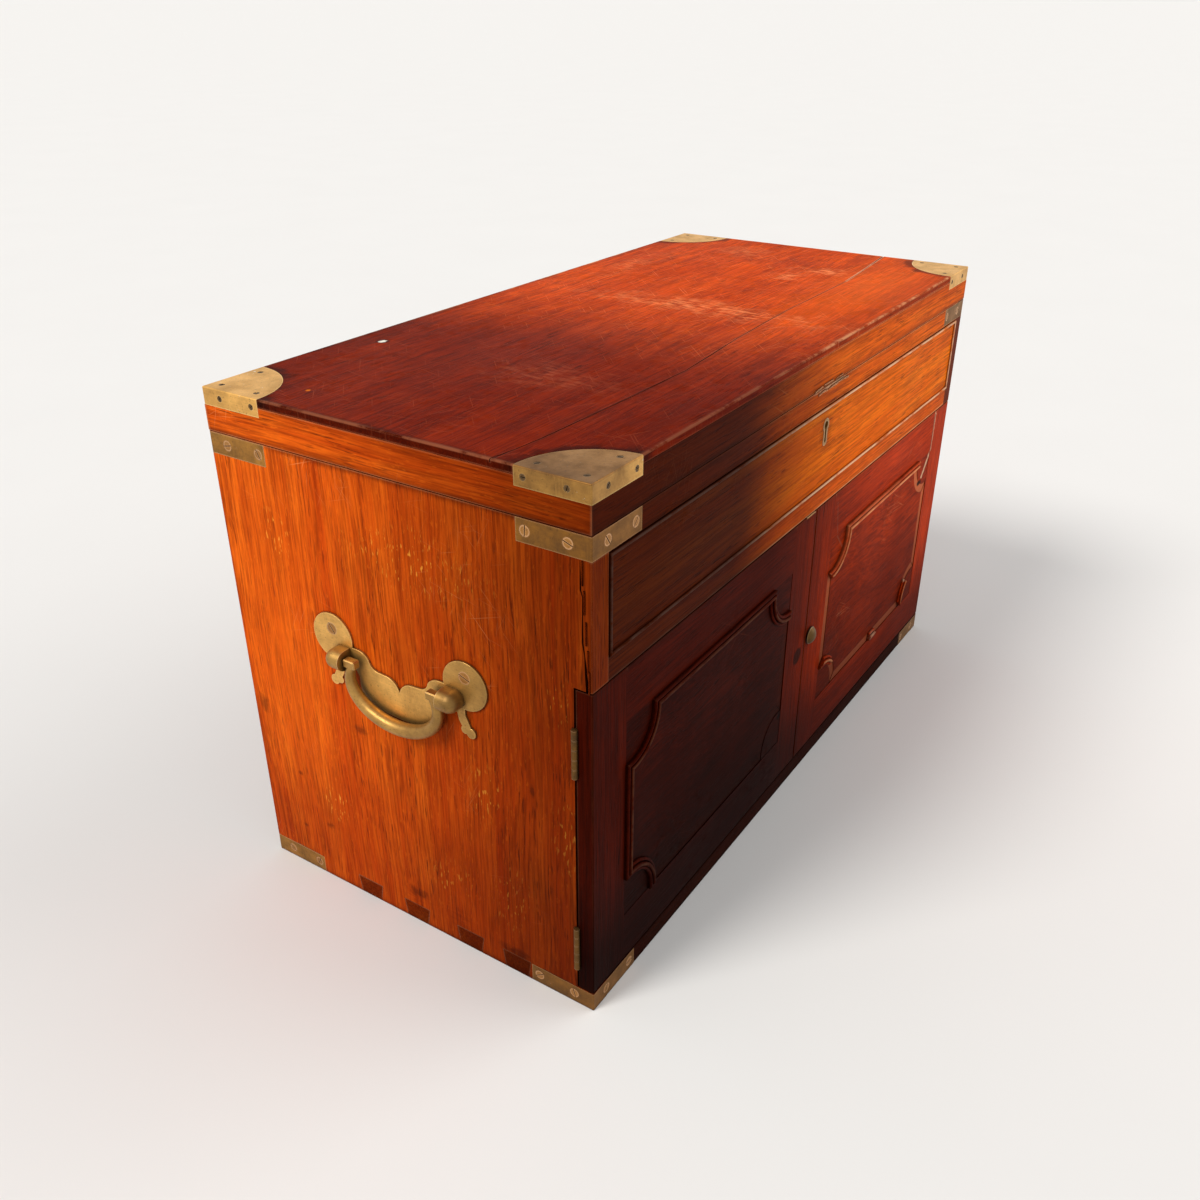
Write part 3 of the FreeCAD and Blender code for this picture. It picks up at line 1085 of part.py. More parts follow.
def door_frame(mortise_room):
    """Stiles, rails and panel of the left door."""
    y = (Y_FRONT, Y_DOOR_BACK)
    tenon_y = (Y_FRONT + (DOOR_THICKNESS - DOOR_TENON_THICKNESS) / 2,
               Y_FRONT + (DOOR_THICKNESS + DOOR_TENON_THICKNESS) / 2)
    panel_groove = box((opening_x[0] - PANEL_TONGUE - PANEL_PLAY, opening_x[1] + PANEL_TONGUE + PANEL_PLAY),
                       (tongue_y[0] - JOINT_FIT, tongue_y[1] + JOINT_FIT),
                       (opening_z[0] - PANEL_TONGUE - PANEL_PLAY, opening_z[1] + PANEL_TONGUE + PANEL_PLAY))
    rails = []
    tenons = []
    for base, high in ((Z_DOOR, opening_z[0]), (opening_z[1], Z_DOOR_TOP)):
        inset = PANEL_TONGUE + PANEL_PLAY + JOINT_FIT
        tenon_z = (base + inset, high - inset)
        tenon = box((opening_x[0] - DOOR_TENON, opening_x[1] + DOOR_TENON), tenon_y, tenon_z)
        room = box((opening_x[0] - DOOR_TENON - JOINT_FIT, opening_x[1] + DOOR_TENON + JOINT_FIT),
                   (tenon_y[0] - JOINT_FIT, tenon_y[1] + JOINT_FIT),
                   (tenon_z[0] - JOINT_FIT, tenon_z[1] + JOINT_FIT))
        tenons.append(room)
        rail = box((opening_x[0], opening_x[1]), y, (base, high))
        outer = Z_DOOR if base == Z_DOOR else Z_DOOR_TOP
        rail = softened(rail, ARRIS, lambda middle, edge: near(middle.y, Y_FRONT) and near(middle.z, outer))
        rails.append(joined([rail, tenon]).cut([panel_groove]))
    stiles = [box((door_x[0], opening_x[0]), y, (Z_DOOR, Z_DOOR_TOP)),
              box((opening_x[1], door_x[1]), y, (Z_DOOR, Z_DOOR_TOP))]
    stiles = [softened(stile, ARRIS, lambda middle, edge: near(middle.y, Y_FRONT) and (
        near(middle.z, Z_DOOR) or near(middle.z, Z_DOOR_TOP)
        or near(middle.x, door_x[0]) or near(middle.x, door_x[1]))) for stile in stiles]
    stiles = [stile.cut(tenons + [panel_groove] + mortise_room) for stile in stiles]
    panel = box((opening_x[0] + PANEL_PLAY, opening_x[1] - PANEL_PLAY),
                (panel_face_y, panel_face_y + PANEL_THICKNESS),
                (opening_z[0] + PANEL_PLAY, opening_z[1] - PANEL_PLAY))
    tongue = box((opening_x[0] - PANEL_TONGUE, opening_x[1] + PANEL_TONGUE), tongue_y,
                 (opening_z[0] - PANEL_TONGUE, opening_z[1] + PANEL_TONGUE))
    housings = moulding_lengths(housing_profile, opening_x, opening_z, {})
    return stiles, rails, joined([panel, tongue]).cut(list(housings.values()))

hinge_room = gathered(left_hinges, "moving_room")
plate_x = (door_bolt_x - BOLT_PLATE_WIDTH / 2, door_bolt_x + BOLT_PLATE_WIDTH / 2)
plate_z = (Z_DOOR_TOP - BOLT_PLATE_LENGTH, Z_DOOR_TOP)
bolt_z = (Z_DOOR_TOP - DOOR_BOLT_LENGTH - BOLT_PLAY, Z_DOOR_TOP - BOLT_PLAY)
bolt_half = DOOR_BOLT_WIDTH / 2
thumb_y = Y_DOOR_BACK + THUMB_LENGTH
thumb_z = bolt_z[0] + THUMB_RADIUS + THUMB_SET
bolt_plate = joined([
    box(plate_x, (Y_DOOR_BACK - BOLT_PLATE_THICKNESS, Y_DOOR_BACK), plate_z),
    box(plate_x, (Y_FRONT, Y_DOOR_BACK), (Z_DOOR_TOP - BOLT_PLATE_THICKNESS, Z_DOOR_TOP))])
plate_room = joined([
    box((plate_x[0] - BRASS_FIT, plate_x[1] + BRASS_FIT),
        (Y_DOOR_BACK - BOLT_PLATE_THICKNESS - BRASS_FIT, Y_DOOR_BACK + OVERRUN),
        (plate_z[0] - BRASS_FIT, plate_z[1] + OVERRUN)),
    box((plate_x[0] - BRASS_FIT, plate_x[1] + BRASS_FIT), (Y_FRONT - OVERRUN, Y_DOOR_BACK + OVERRUN),
        (Z_DOOR_TOP - BOLT_PLATE_THICKNESS - BRASS_FIT, Z_DOOR_TOP + OVERRUN))])
bolt_room = box((door_bolt_x - bolt_half - BOLT_PLAY, door_bolt_x + bolt_half + BOLT_PLAY),
                (door_bolt_y[0] - BOLT_PLAY, Y_DOOR_BACK - BOLT_PLATE_THICKNESS),
                (bolt_z[0] - BOLT_PLAY, Z_DOOR_TOP + OVERRUN))
shank_radius = THUMB_RADIUS * 0.5
shank_slot = box((door_bolt_x - shank_radius - BOLT_PLAY, door_bolt_x + shank_radius + BOLT_PLAY),
                 (door_bolt_y[1] - OVERRUN, Y_DOOR_BACK + OVERRUN),
                 (thumb_z - shank_radius - BOLT_PLAY, thumb_z + shank_radius + DOOR_BOLT_TRAVEL + BOLT_PLAY))
door_bolt = joined([
    box((door_bolt_x - bolt_half, door_bolt_x + bolt_half), door_bolt_y, bolt_z),
    rod(V(door_bolt_x, door_bolt_y[1], thumb_z), Y, shank_radius, thumb_y - door_bolt_y[1]),
    rod(V(door_bolt_x, Y_DOOR_BACK + THUMB_STAND, thumb_z), Y, THUMB_RADIUS, THUMB_LENGTH - THUMB_STAND)])

knob_x = DOOR_GAP / 2 + KNOB_SET
knob_face = V(knob_x, Y_FRONT, KNOB_LEVEL)
spindle_hole = rod(knob_face - Y, Y, SPINDLE_RADIUS + PIN_FIT, DOOR_THICKNESS + 2)
tongue_start = Y_DOOR_BACK + TURN_PLAY

stiles, rails, panel = door_frame(hinge_room)
left_stiles = [stile.cut([plate_room, bolt_room]) for stile in stiles]
right_stiles = [mirrored(stile).cut(spindle_hole) for stile in stiles]
nodes["left_door_stiles"] = Part.Compound(left_stiles)
nodes["right_door_stiles"] = Part.Compound(right_stiles)
nodes["left_door_rails"] = Part.Compound(rails)
nodes["right_door_rails"] = Part.Compound([mirrored(rail) for rail in rails])
nodes["left_door_panel"] = panel
nodes["right_door_panel"] = mirrored(panel)
nodes["left_door_mouldings"] = Part.Compound(mouldings(opening_x, opening_z, LEFT_LOST, {}))
right_broken = dict(RIGHT_BROKEN, bottom=(CHIP_START, CHIP_END))
right_lost = [name for name in RIGHT_LOST if name not in right_broken]
nodes["right_door_mouldings"] = Part.Compound(
    mouldings((-opening_x[1], -opening_x[0]), opening_z, right_lost, right_broken))
leaves = gathered(left_hinges, "moving")
leaf_screws = gathered(left_hinges, "moving_screws")
nodes["left_door_hinge_leaves"] = Part.Compound(leaves)
nodes["right_door_hinge_leaves"] = Part.Compound([mirrored(leaf) for leaf in leaves])
nodes["left_door_screws"] = Part.Compound(leaf_screws)
nodes["right_door_screws"] = Part.Compound([mirrored(one) for one in leaf_screws])
nodes["door_bolt_plate"] = bolt_plate.cut([bolt_room, shank_slot])
nodes["door_bolt"] = door_bolt

dome_radius = (KNOB_RADIUS ** 2 + (KNOB_HEIGHT - KNOB_NECK) ** 2) / (2 * (KNOB_HEIGHT - KNOB_NECK))
neck_end = knob_face - Y * KNOB_NECK
dome = Part.makeSphere(dome_radius, neck_end + Y * (dome_radius - (KNOB_HEIGHT - KNOB_NECK)))
dome = dome.common(rod(neck_end, -Y, KNOB_RADIUS, KNOB_HEIGHT))
collar = rod(knob_face - Y * PANEL_SINK, -Y, KNOB_NECK_RADIUS, KNOB_NECK)
spindle = rod(knob_face - Y, Y, SPINDLE_RADIUS, DOOR_THICKNESS + TURN_PLAY + TURN_THICKNESS + 1)
nodes["turn_knob"] = joined([dome, collar, spindle])
tongue_box = box((knob_x - TURN_WIDTH / 2, knob_x + TURN_WIDTH / 2),
                 (tongue_start, tongue_start + TURN_THICKNESS), (KNOB_LEVEL - TURN_LENGTH, KNOB_LEVEL))
tongue_eye = rod(V(knob_x, tongue_start, KNOB_LEVEL), Y, TURN_WIDTH / 2, TURN_THICKNESS)
nodes["turn_tongue"] = joined([tongue_box, tongue_eye]).cut(
    rod(V(knob_x, tongue_start - 1, KNOB_LEVEL), Y, SPINDLE_RADIUS + SCREW_FIT, TURN_THICKNESS + 2))


# ---------------------------------------------------------------- write the parts
os.makedirs("parts", exist_ok=True)
for name, shape in nodes.items():
    solids = shape.Solids
    whole_shape = solids[0] if len(solids) == 1 else Part.Compound(solids)
    whole_shape.exportStep("parts/" + name + ".step")
    print("%-26s %3d solids  %11.1f mm3  valid %s" % (
        name, len(solids), whole_shape.Volume, whole_shape.isValid()))
print(len(nodes), "nodes")
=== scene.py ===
import math
import random
from functools import cache
from types import SimpleNamespace

import bpy
from mathutils import Euler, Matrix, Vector


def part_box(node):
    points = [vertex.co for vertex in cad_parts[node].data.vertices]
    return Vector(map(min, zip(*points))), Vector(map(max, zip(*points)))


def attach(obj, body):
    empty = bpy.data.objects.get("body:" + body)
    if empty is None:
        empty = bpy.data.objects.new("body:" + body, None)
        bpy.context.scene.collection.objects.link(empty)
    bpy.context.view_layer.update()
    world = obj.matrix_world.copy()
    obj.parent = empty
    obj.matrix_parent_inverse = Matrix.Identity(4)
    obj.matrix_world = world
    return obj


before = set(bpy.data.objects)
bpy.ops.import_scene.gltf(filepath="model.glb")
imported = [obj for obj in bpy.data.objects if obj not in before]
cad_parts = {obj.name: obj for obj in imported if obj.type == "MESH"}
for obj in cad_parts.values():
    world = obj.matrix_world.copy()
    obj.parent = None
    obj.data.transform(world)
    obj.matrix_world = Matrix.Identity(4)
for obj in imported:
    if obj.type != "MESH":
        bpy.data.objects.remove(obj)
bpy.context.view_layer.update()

bl_info = {
    "name": "Campaign chest",
    "version": (1, 0, 0),
    "blender": (4, 5, 0),
    "location": "View3D > Sidebar > Chest",
    "description": "Dresses a brass-bound campaign chest: woods, brass, splinters and a studio",
    "category": "Add Mesh",
}

CHEST_LOW, CHEST_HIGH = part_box("lid_board")
END_X = CHEST_HIGH.x
FACE_Y = CHEST_LOW.y
TOP_Z = CHEST_HIGH.z
SEAM_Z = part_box("lid_rim_front")[0].z


def linear(red, green, blue):
    """A screen colour from 0 to 255 as the linear colour that a shader takes."""
    def one(level):
        level /= 255.0
        return level / 12.92 if level <= 0.04045 else ((level + 0.055) / 1.055) ** 2.4
    return (one(red), one(green), one(blue))


def scaled(colour, factor):
    return tuple(part * factor for part in colour)


def mixed(first, second, share):
    """The first colour with a share of the second."""
    return tuple(a * (1.0 - share) + b * share for a, b in zip(first, second))


def colour_property(name, description, screen):
    return bpy.props.FloatVectorProperty(
        name=name, description=description, subtype="COLOR", size=3, min=0.0, max=1.0,
        default=linear(*screen))


def length_property(name, description, metres):
    return bpy.props.FloatProperty(
        name=name, description=description, unit="LENGTH", min=0.0, default=metres)


def share_property(name, description, share):
    return bpy.props.FloatProperty(
        name=name, description=description, subtype="FACTOR", min=0.0, max=1.0, default=share)


class ChestColours(bpy.types.PropertyGroup):
    """The chest's woods, brass and studio."""
    end_light: colour_property("End light", "Pale streaks of the end boards", (252, 118, 24))
    end_deep: colour_property("End deep", "Dark streaks of the end boards", (204, 68, 8))
    top_light: colour_property("Lid light", "Pale streaks of the lid's board", (250, 94, 8))
    top_deep: colour_property("Lid deep", "Dark streaks of the lid's board", (186, 56, 4))
    rail_light: colour_property("Rail light", "Pale streaks of the rails and the lid's rim", (255, 122, 8))
    rail_deep: colour_property("Rail deep", "Dark streaks of the rails and the lid's rim", (212, 80, 5))
    drawer_light: colour_property("Drawer light", "Pale streaks of the drawer front", (255, 134, 4))
    drawer_deep: colour_property("Drawer deep", "Dark streaks of the drawer front", (228, 92, 3))
    door_light: colour_property("Door light", "Pale streaks of the doors", (228, 70, 4))
    door_deep: colour_property("Door deep", "Dark streaks of the doors", (168, 44, 2))
    pine_light: colour_property("Lining light", "Pale streaks of the drawer's lining", (196, 152, 100))
    pine_deep: colour_property("Lining deep", "Dark streaks of the drawer's lining", (138, 94, 54))
    worn_wood: colour_property("Worn wood", "Bare wood where the polish is rubbed off", (232, 164, 112))
    torn_wood: colour_property("Torn wood", "Freshly torn pale wood", (232, 190, 152))
    # this colour is used for dirt and also for the painted shade in crevices found by ambient occlusion
    grime_and_shade: colour_property("Grime", "Dirt in the corners and round the brass", (40, 18, 9))
    brass_light: colour_property("Brass light", "Rubbed brass", (240, 184, 98))
    brass_deep: colour_property("Brass deep", "Tarnished brass", (166, 120, 54))
    strap_light: colour_property("Strap light", "Rubbed brown brass of the straps", (178, 124, 48))
    strap_deep: colour_property("Strap deep", "Dull brown brass of the straps", (112, 74, 22))
    screw_copper: colour_property("Screw head", "Coppery screw heads", (178, 124, 62))
    paint_spot: colour_property("Paint spot", "Old white paint drips", (232, 224, 210))
    floor: colour_property("Floor", "Studio floor", (232, 230, 227))


class ChestSizes(bpy.types.PropertyGroup):
    """Sizes of the wear and of the small added pieces."""
    arris_wear: length_property("Arris wear", "Width of the rubbed edges", 0.0035)
    edge_dirt: length_property("Edge dirt", "Reach of the dirt along a board's edges", 0.008)
    corner_halo: length_property("Corner halo", "Reach of the dirt round the corner plates", 0.014)
    splinter: length_property("Splinter", "Length of a long splinter", 0.024)
    gloss: share_property("Gloss", "How shiny the polish still is", 0.6)


def palette():
    """The chest's colours as plain tuples."""
    colours = bpy.context.scene.chest_colours
    return SimpleNamespace(**{name: getattr(colours, name)[:] for name in ChestColours.__annotations__})


# painted shade: the wood and brass are painted darker where less light falls on them, standing in for
# shadow; each row is axis, level where it is full, level where it ends, tint that it multiplies by
END_PAINTED_SHADE = (("Y", -0.21, 0.12, (0.30, 0.28, 0.3)), ("Z", 0.02, 0.26, (0.68, 0.64, 0.75)))
TOP_PAINTED_SHADE = (("X", -0.20, 0.06, (0.33, 0.21, 0.22)), ("Y", -0.23, -0.16, (0.82, 0.78, 0.8)))
FRONT_PAINTED_SHADE = (("X", -0.22, 0.11, (0.08, 0.06, 0.07)),)
DOOR_PAINTED_SHADE = (("X", -0.12, 0.24, (0.10, 0.08, 0.09)), ("Z", 0.05, 0.18, (0.25, 0.22, 0.25)))
PANEL_PAINTED_SHADE = (DOOR_PAINTED_SHADE[0], ("Z", 0.05, 0.30, (0.30, 0.28, 0.30)))
HANDLE_PAINTED_SHADE = (("Y", -0.14, 0.0, (0.32, 0.31, 0.28)),)
STRAP_PAINTED_SHADE = (("Y", -0.2, 0.0, (0.6, 0.55, 0.5)),)
CORNER_PAINTED_SHADE = (("X", -0.5, -0.3, (0.4, 0.36, 0.3)),
                 ("Z", TOP_Z - 0.0004, TOP_Z - 0.002, (0.6, 0.52, 0.42)))
POLISH_SHEEN = 0.018        # how little the old polish mirrors head on
POLISH_TINT = (1.0, 0.45, 0.15, 1.0)

# the split along the lid: from the left end and from the front, in millimetres
LID_SPLIT = ((0, 95), (60, 89.5), (290, 83.5), (420, 95), (560, 102), (740, 103), (850, 113), (915, 119.5))
SPLIT_CLOSES = 600          # it is open up to here from the left end, and finer after that

# slivers along the lid's seam: how many, the first one's place and their pitch in millimetres from
# the left end, and how far above or below the seam they lie, on the lid or on the case
SEAM_SLIVERS = 9
SEAM_FIRST, SEAM_PITCH = 428, 8.6
ON_LID, ON_CASE = 0.0028, -0.0030
# slivers beside the split end: level and tilt
END_SLIVERS = ((0.478, 0.05), (0.452, -0.05), (0.424, 0.08), (0.398, -0.04), (0.378, 0.1))
SLICED_SHARE = 0.85         # share of a sliver's half length that each slice takes away

ORIGIN = (0.0, 0.0, 0.0)

ROOM_LIGHT = 0.55           # strength of the light from all round
SURROUND_LOOK = 0.89        # how pale the room looks behind the chest and in its brass
# sun lamps: name, direction towards it, strength, spread in degrees, colour
LAMPS = (("key", (-0.64, 0.30, 0.70), 2.0, 22.0, (1.0, 0.98, 0.95)),
         ("fill", (0.60, -0.62, 0.5), 1.1, 50.0, (1.0, 0.99, 0.97)))
CAMERA_PLACE = (-1.1072, -0.6523, 0.8772)
CAMERA_AIM = (0.73643, 0.48289, -0.47380)
CAMERA_LENS = 33.78         # focal length in millimetres on a 36 mm wide sensor


# ---------------------------------------------------------------- node trees by short calls
class NodeSheet:
    """A node tree that is filled in by short calls."""

    def __init__(self, tree):
        self.tree = tree

    def feed(self, socket, value):
        if isinstance(value, bpy.types.NodeSocket):
            self.tree.links.new(value, socket)
        elif socket.type == "RGBA" and len(value) == 3:
            socket.default_value = (*value, 1.0)
        else:
            socket.default_value = value

    def add(self, kind, inputs=None, **settings):
        node = self.tree.nodes.new(kind)
        for name, value in settings.items():
            setattr(node, name, value)
        for name, value in (inputs or {}).items():
            self.feed(node.inputs[name], value)
        return node

    def math(self, operation, first, second=0.0, clamp=False):
        node = self.add("ShaderNodeMath", {0: first, 1: second}, operation=operation)
        node.use_clamp = clamp
        return node.outputs[0]

    def plus(self, first, second):
        return self.math("ADD", first, second)

    def minus(self, first, second):
        return self.math("SUBTRACT", first, second)

    def times(self, first, second):
        return self.math("MULTIPLY", first, second)

    def vector(self, operation, first, second=ORIGIN):
        node = self.add("ShaderNodeVectorMath", {0: first, 1: second}, operation=operation)
        return node.outputs["Value" if operation in ("LENGTH", "DOT_PRODUCT") else "Vector"]

    def blend(self, share, first, second, mode="MIX"):
        node = self.add("ShaderNodeMix", data_type="RGBA", blend_type=mode, clamp_factor=True)
        for slot, value in ((0, share), (6, first), (7, second)):
            self.feed(node.inputs[slot], value)
        return node.outputs[2]

    def spread(self, value, low, high, to_low=0.0, to_high=1.0, smooth=False):
        node = self.add("ShaderNodeMapRange", {
            "Value": value, "From Min": low, "From Max": high, "To Min": to_low, "To Max": to_high},
            interpolation_type="SMOOTHSTEP" if smooth else "LINEAR")
        node.clamp = True
        return node.outputs["Result"]

    def noise(self, vector, scale, detail=3.0, roughness=0.55):
        return self.add("ShaderNodeTexNoise", {
            "Vector": vector, "Scale": scale, "Detail": detail, "Roughness": roughness}).outputs[0]

    def drawn(self, vector, stretch, detail=3.0, roughness=0.55):
        """Noise at a scale of its own along each part of the vector."""
        return self.noise(self.vector("MULTIPLY", vector, stretch), 1.0, detail, roughness)

    def swing(self, vector, scale, detail=3.0, roughness=0.55):
        """Noise about zero."""
        return self.minus(self.noise(vector, scale, detail, roughness), 0.5)

    def part(self, vector, axis):
        return self.add("ShaderNodeSeparateXYZ", {0: vector}).outputs[axis]

    def alike(self, value):
        """A vector whose three parts are all the value."""
        return self.add("ShaderNodeCombineXYZ", {0: value, 1: value, 2: value}).outputs[0]

    def lay(self, mask, share, colour, tint):
        """The tint laid over the colour by a share of the mask."""
        return self.blend(self.times(mask, share), colour, tint)

    def ramp(self, value, stops):
        node = self.add("ShaderNodeValToRGB", {"Fac": value})
        bar = node.color_ramp.elements
        while len(bar) < len(stops):
            bar.new(0.5)
        for stop, (place, colour) in zip(bar, stops):
            stop.position = place
            stop.color = (*colour, 1.0)
        return node.outputs["Color"]

    def ordered(self, vector, order):
        """The vector with its parts put in another order, such as zyx."""
        parts = self.add("ShaderNodeSeparateXYZ", {0: vector})
        return self.add("ShaderNodeCombineXYZ", {
            count: parts.outputs[letter.upper()] for count, letter in enumerate(order)}).outputs[0]

    def use(self, group, vector, **inputs):
        node = self.tree.nodes.new("ShaderNodeGroup")
        node.node_tree = group
        for name, value in (("Vector", vector), *inputs.items()):
            self.feed(node.inputs[name], value)
        return node.outputs


def new_group(name, *outputs, **inputs):
    """A node group that takes Vector and the inputs, given with their defaults, and puts out numbers.

    Gives its sheet, the vector, all that comes in and all that goes out.
    """
    tree = bpy.data.node_groups.new(name, "ShaderNodeTree")
    tree.interface.new_socket(name="Vector", in_out="INPUT", socket_type="NodeSocketVector")
    for label, default in inputs.items():
        kind = "NodeSocketFloat" if isinstance(default, float) else "NodeSocketVector"
        tree.interface.new_socket(name=label, in_out="INPUT", socket_type=kind).default_value = default
    for label in outputs:
        tree.interface.new_socket(name=label, in_out="OUTPUT", socket_type="NodeSocketFloat")
    sheet = NodeSheet(tree)
    given = sheet.add("NodeGroupInput").outputs
    return sheet, given["Vector"], given, sheet.add("NodeGroupOutput").inputs


# ---------------------------------------------------------------- effects that several finishes share
@cache
def wood_grain_group():
    """Grain along the vector's X: broad tone, fine fibres, dark pores and cross figure."""
    sheet, at, given, out = new_group("wood grain", "Tone", "Fibre", "Pore", "Figure",
                                      Wander=0.012, Band=26.0, Offset=0.0)
    start = sheet.vector("ADD", at, sheet.alike(given["Offset"]))
    drift = sheet.drawn(start, (2.6, 7.0, 7.0), 2.0)
    drift = sheet.times(sheet.minus(drift, 0.5), given["Wander"])
    shift = sheet.add("ShaderNodeCombineXYZ", {0: 0.0, 1: drift, 2: drift}).outputs[0]
    grain = sheet.vector("ADD", start, shift)
    broad = sheet.noise(sheet.vector("MULTIPLY", grain, (0.05, 1.0, 1.0)), given["Band"], 4.0, 0.6)
    middle = sheet.drawn(grain, (4.0, 120.0, 120.0), 3.0, 0.6)
    tone = sheet.plus(sheet.times(broad, 0.68), sheet.times(middle, 0.32))
    sheet.feed(out["Tone"], sheet.spread(tone, 0.34, 0.66))
    fibre = sheet.drawn(grain, (13.0, 400.0, 400.0), 4.0, 0.65)
    sheet.feed(out["Fibre"], sheet.spread(fibre, 0.42, 0.62))
    pore = sheet.drawn(grain, (40.0, 620.0, 620.0), 1.0, 0.5)
    place = sheet.drawn(grain, (9.0, 60.0, 60.0), 2.0)
    pore = sheet.times(sheet.spread(pore, 0.60, 0.68), sheet.spread(place, 0.36, 0.6))
    sheet.feed(out["Pore"], pore)
    figure = sheet.drawn(start, (26.0, 6.0, 6.0), 3.0, 0.6)
    sheet.feed(out["Figure"], sheet.spread(figure, 0.38, 0.64, smooth=True))
    return sheet.tree


@cache
def scratch_group():
    """Fine straight scratches in the vector's XY plane, thick in some places."""
    sheet, at, given, out = new_group("fine scratches", "Mask", "Scuff", Length=20.0, Amount=0.5)
    total = None
    for count, turn in enumerate((0.5, -0.75, 1.25, 0.12, -1.35)):
        lines = sheet.add("ShaderNodeMapping", {
            "Vector": at, "Rotation": (0.0, 0.0, turn),
            "Location": (0.37 * count, 0.19 * count, 0.0)}, vector_type="POINT").outputs[0]
        lines = sheet.vector("MULTIPLY", lines, (1.0, 46.0, 1.0))
        streak = sheet.add("ShaderNodeTexNoise", {
            "Vector": lines, "Scale": given["Length"], "Detail": 1.0, "Roughness": 0.5}).outputs[0]
        streak = sheet.spread(streak, 0.70, 0.76)
        total = streak if total is None else sheet.math("MAXIMUM", total, streak)
    place = sheet.noise(at, 7.0, 3.0)
    low = sheet.minus(0.72, sheet.times(given["Amount"], 0.4))
    where = sheet.spread(place, low, sheet.plus(low, 0.14))
    sheet.feed(out["Mask"], sheet.times(total, where))
    scuff = sheet.noise(at, 60.0, 5.0, 0.7)
    sheet.feed(out["Scuff"], sheet.times(sheet.spread(scuff, 0.52, 0.72), where))
    return sheet.tree


@cache
def arris_group():
    """Rubbed bare along open edges, and darker in crevices from ambient occlusion, as dirt and painted
    shade.
    """
    sheet, at, given, out = new_group("rubbed arris", "Mask", "Crevice",
                                      Width=0.002, Ragged=0.6, Shelter=1.0)
    rounded = sheet.add("ShaderNodeBevel", {"Radius": given["Width"]}, samples=6).outputs[0]
    straight = sheet.add("ShaderNodeNewGeometry").outputs["Normal"]
    turn = sheet.vector("DOT_PRODUCT", rounded, straight)
    near = sheet.spread(turn, 0.995, 0.86)
    open_air = sheet.add("ShaderNodeAmbientOcclusion", {"Distance": 0.007}, samples=5).outputs["AO"]
    hidden = sheet.times(sheet.spread(open_air, 0.86, 0.66), given["Shelter"])
    near = sheet.times(near, sheet.minus(1.0, hidden))
    rough = sheet.times(sheet.swing(at, 42.0, 5.0, 0.7), sheet.times(given["Ragged"], 2.4))
    sheet.feed(out["Mask"], sheet.spread(sheet.plus(near, rough), 0.5, 0.95))
    # dirt and painted shade: darker where ambient occlusion finds little open air
    sheet.feed(out["Crevice"], sheet.spread(open_air, 0.82, 0.45))
    return sheet.tree


@cache
def rim_group():
    """How near a point is to the outline of a board, in the vector's XY plane."""
    sheet, at, given, out = new_group("board rim", "Mask", Centre=ORIGIN, Half=(1.0, 1.0, 1.0),
                                      Reach=0.004, Ragged=0.5)
    away = sheet.vector("ABSOLUTE", sheet.vector("SUBTRACT", at, given["Centre"]))
    parts = sheet.add("ShaderNodeSeparateXYZ", {0: sheet.vector("SUBTRACT", given["Half"], away)})
    inside = sheet.math("MINIMUM", parts.outputs[0], parts.outputs[1])
    rough = sheet.swing(at, 30.0, 5.0, 0.65)
    rough = sheet.times(rough, sheet.times(given["Ragged"], given["Reach"]))
    inside = sheet.math("DIVIDE", sheet.plus(inside, rough), given["Reach"])
    sheet.feed(out["Mask"], sheet.spread(inside, 1.0, 0.0, smooth=True))
    return sheet.tree


@cache
def crack_group():
    """A thin crack between two points: its dark core and its torn pale flanks."""
    sheet, at, given, out = new_group("fine crack", "Core", "Flank", Start=ORIGIN, End=ORIGIN,
                                      Width=0.0006, Wander=0.002)
    shift = sheet.alike(sheet.times(sheet.swing(at, 90.0), given["Wander"]))
    point = sheet.vector("ADD", sheet.vector("SUBTRACT", at, given["Start"]), shift)
    line = sheet.vector("SUBTRACT", given["End"], given["Start"])
    share = sheet.math("DIVIDE", sheet.vector("DOT_PRODUCT", point, line),
                       sheet.vector("DOT_PRODUCT", line, line), clamp=True)
    on_line = sheet.add("ShaderNodeVectorMath", {"Vector": line, "Scale": share}, operation="SCALE")
    away = sheet.vector("LENGTH", sheet.vector("SUBTRACT", point, on_line.outputs[0]))
    away = sheet.math("DIVIDE", away, given["Width"])
    sheet.feed(out["Core"], sheet.spread(away, 1.3, 0.6))
    ragged = sheet.times(sheet.swing(at, 240.0, 4.0), 6.0)
    sheet.feed(out["Flank"], sheet.spread(sheet.plus(away, ragged), 4.0, 1.6))
    return sheet.tree


@cache
def fleck_group():
    """Small flecks drawn out along the vector's X."""
    sheet, at, given, out = new_group("wood flecks", "Mask", Amount=0.5)
    spots = sheet.drawn(at, (95.0, 420.0, 420.0), 2.0, 0.5)
    low = sheet.minus(0.78, sheet.times(given["Amount"], 0.16))
    sheet.feed(out["Mask"], sheet.spread(spots, low, sheet.plus(low, 0.05)))
    return sheet.tree


@cache
def patch_group():
    """A soft ragged patch round a centre."""
    sheet, at, given, out = new_group("ragged patch", "Mask", Centre=ORIGIN, Reach=(0.05, 0.05, 0.05),
                                      Soft=0.5, Ragged=0.6, Grit=30.0)
    away = sheet.vector("SUBTRACT", at, given["Centre"])
    away = sheet.vector("LENGTH", sheet.vector("DIVIDE", away, given["Reach"]))
    rough = sheet.times(sheet.swing(at, given["Grit"], 5.0, 0.65), given["Ragged"])
    away = sheet.plus(away, sheet.times(rough, 3.0))
    sheet.feed(out["Mask"], sheet.spread(away, 1.0, sheet.minus(1.0, given["Soft"])))
    return sheet.tree


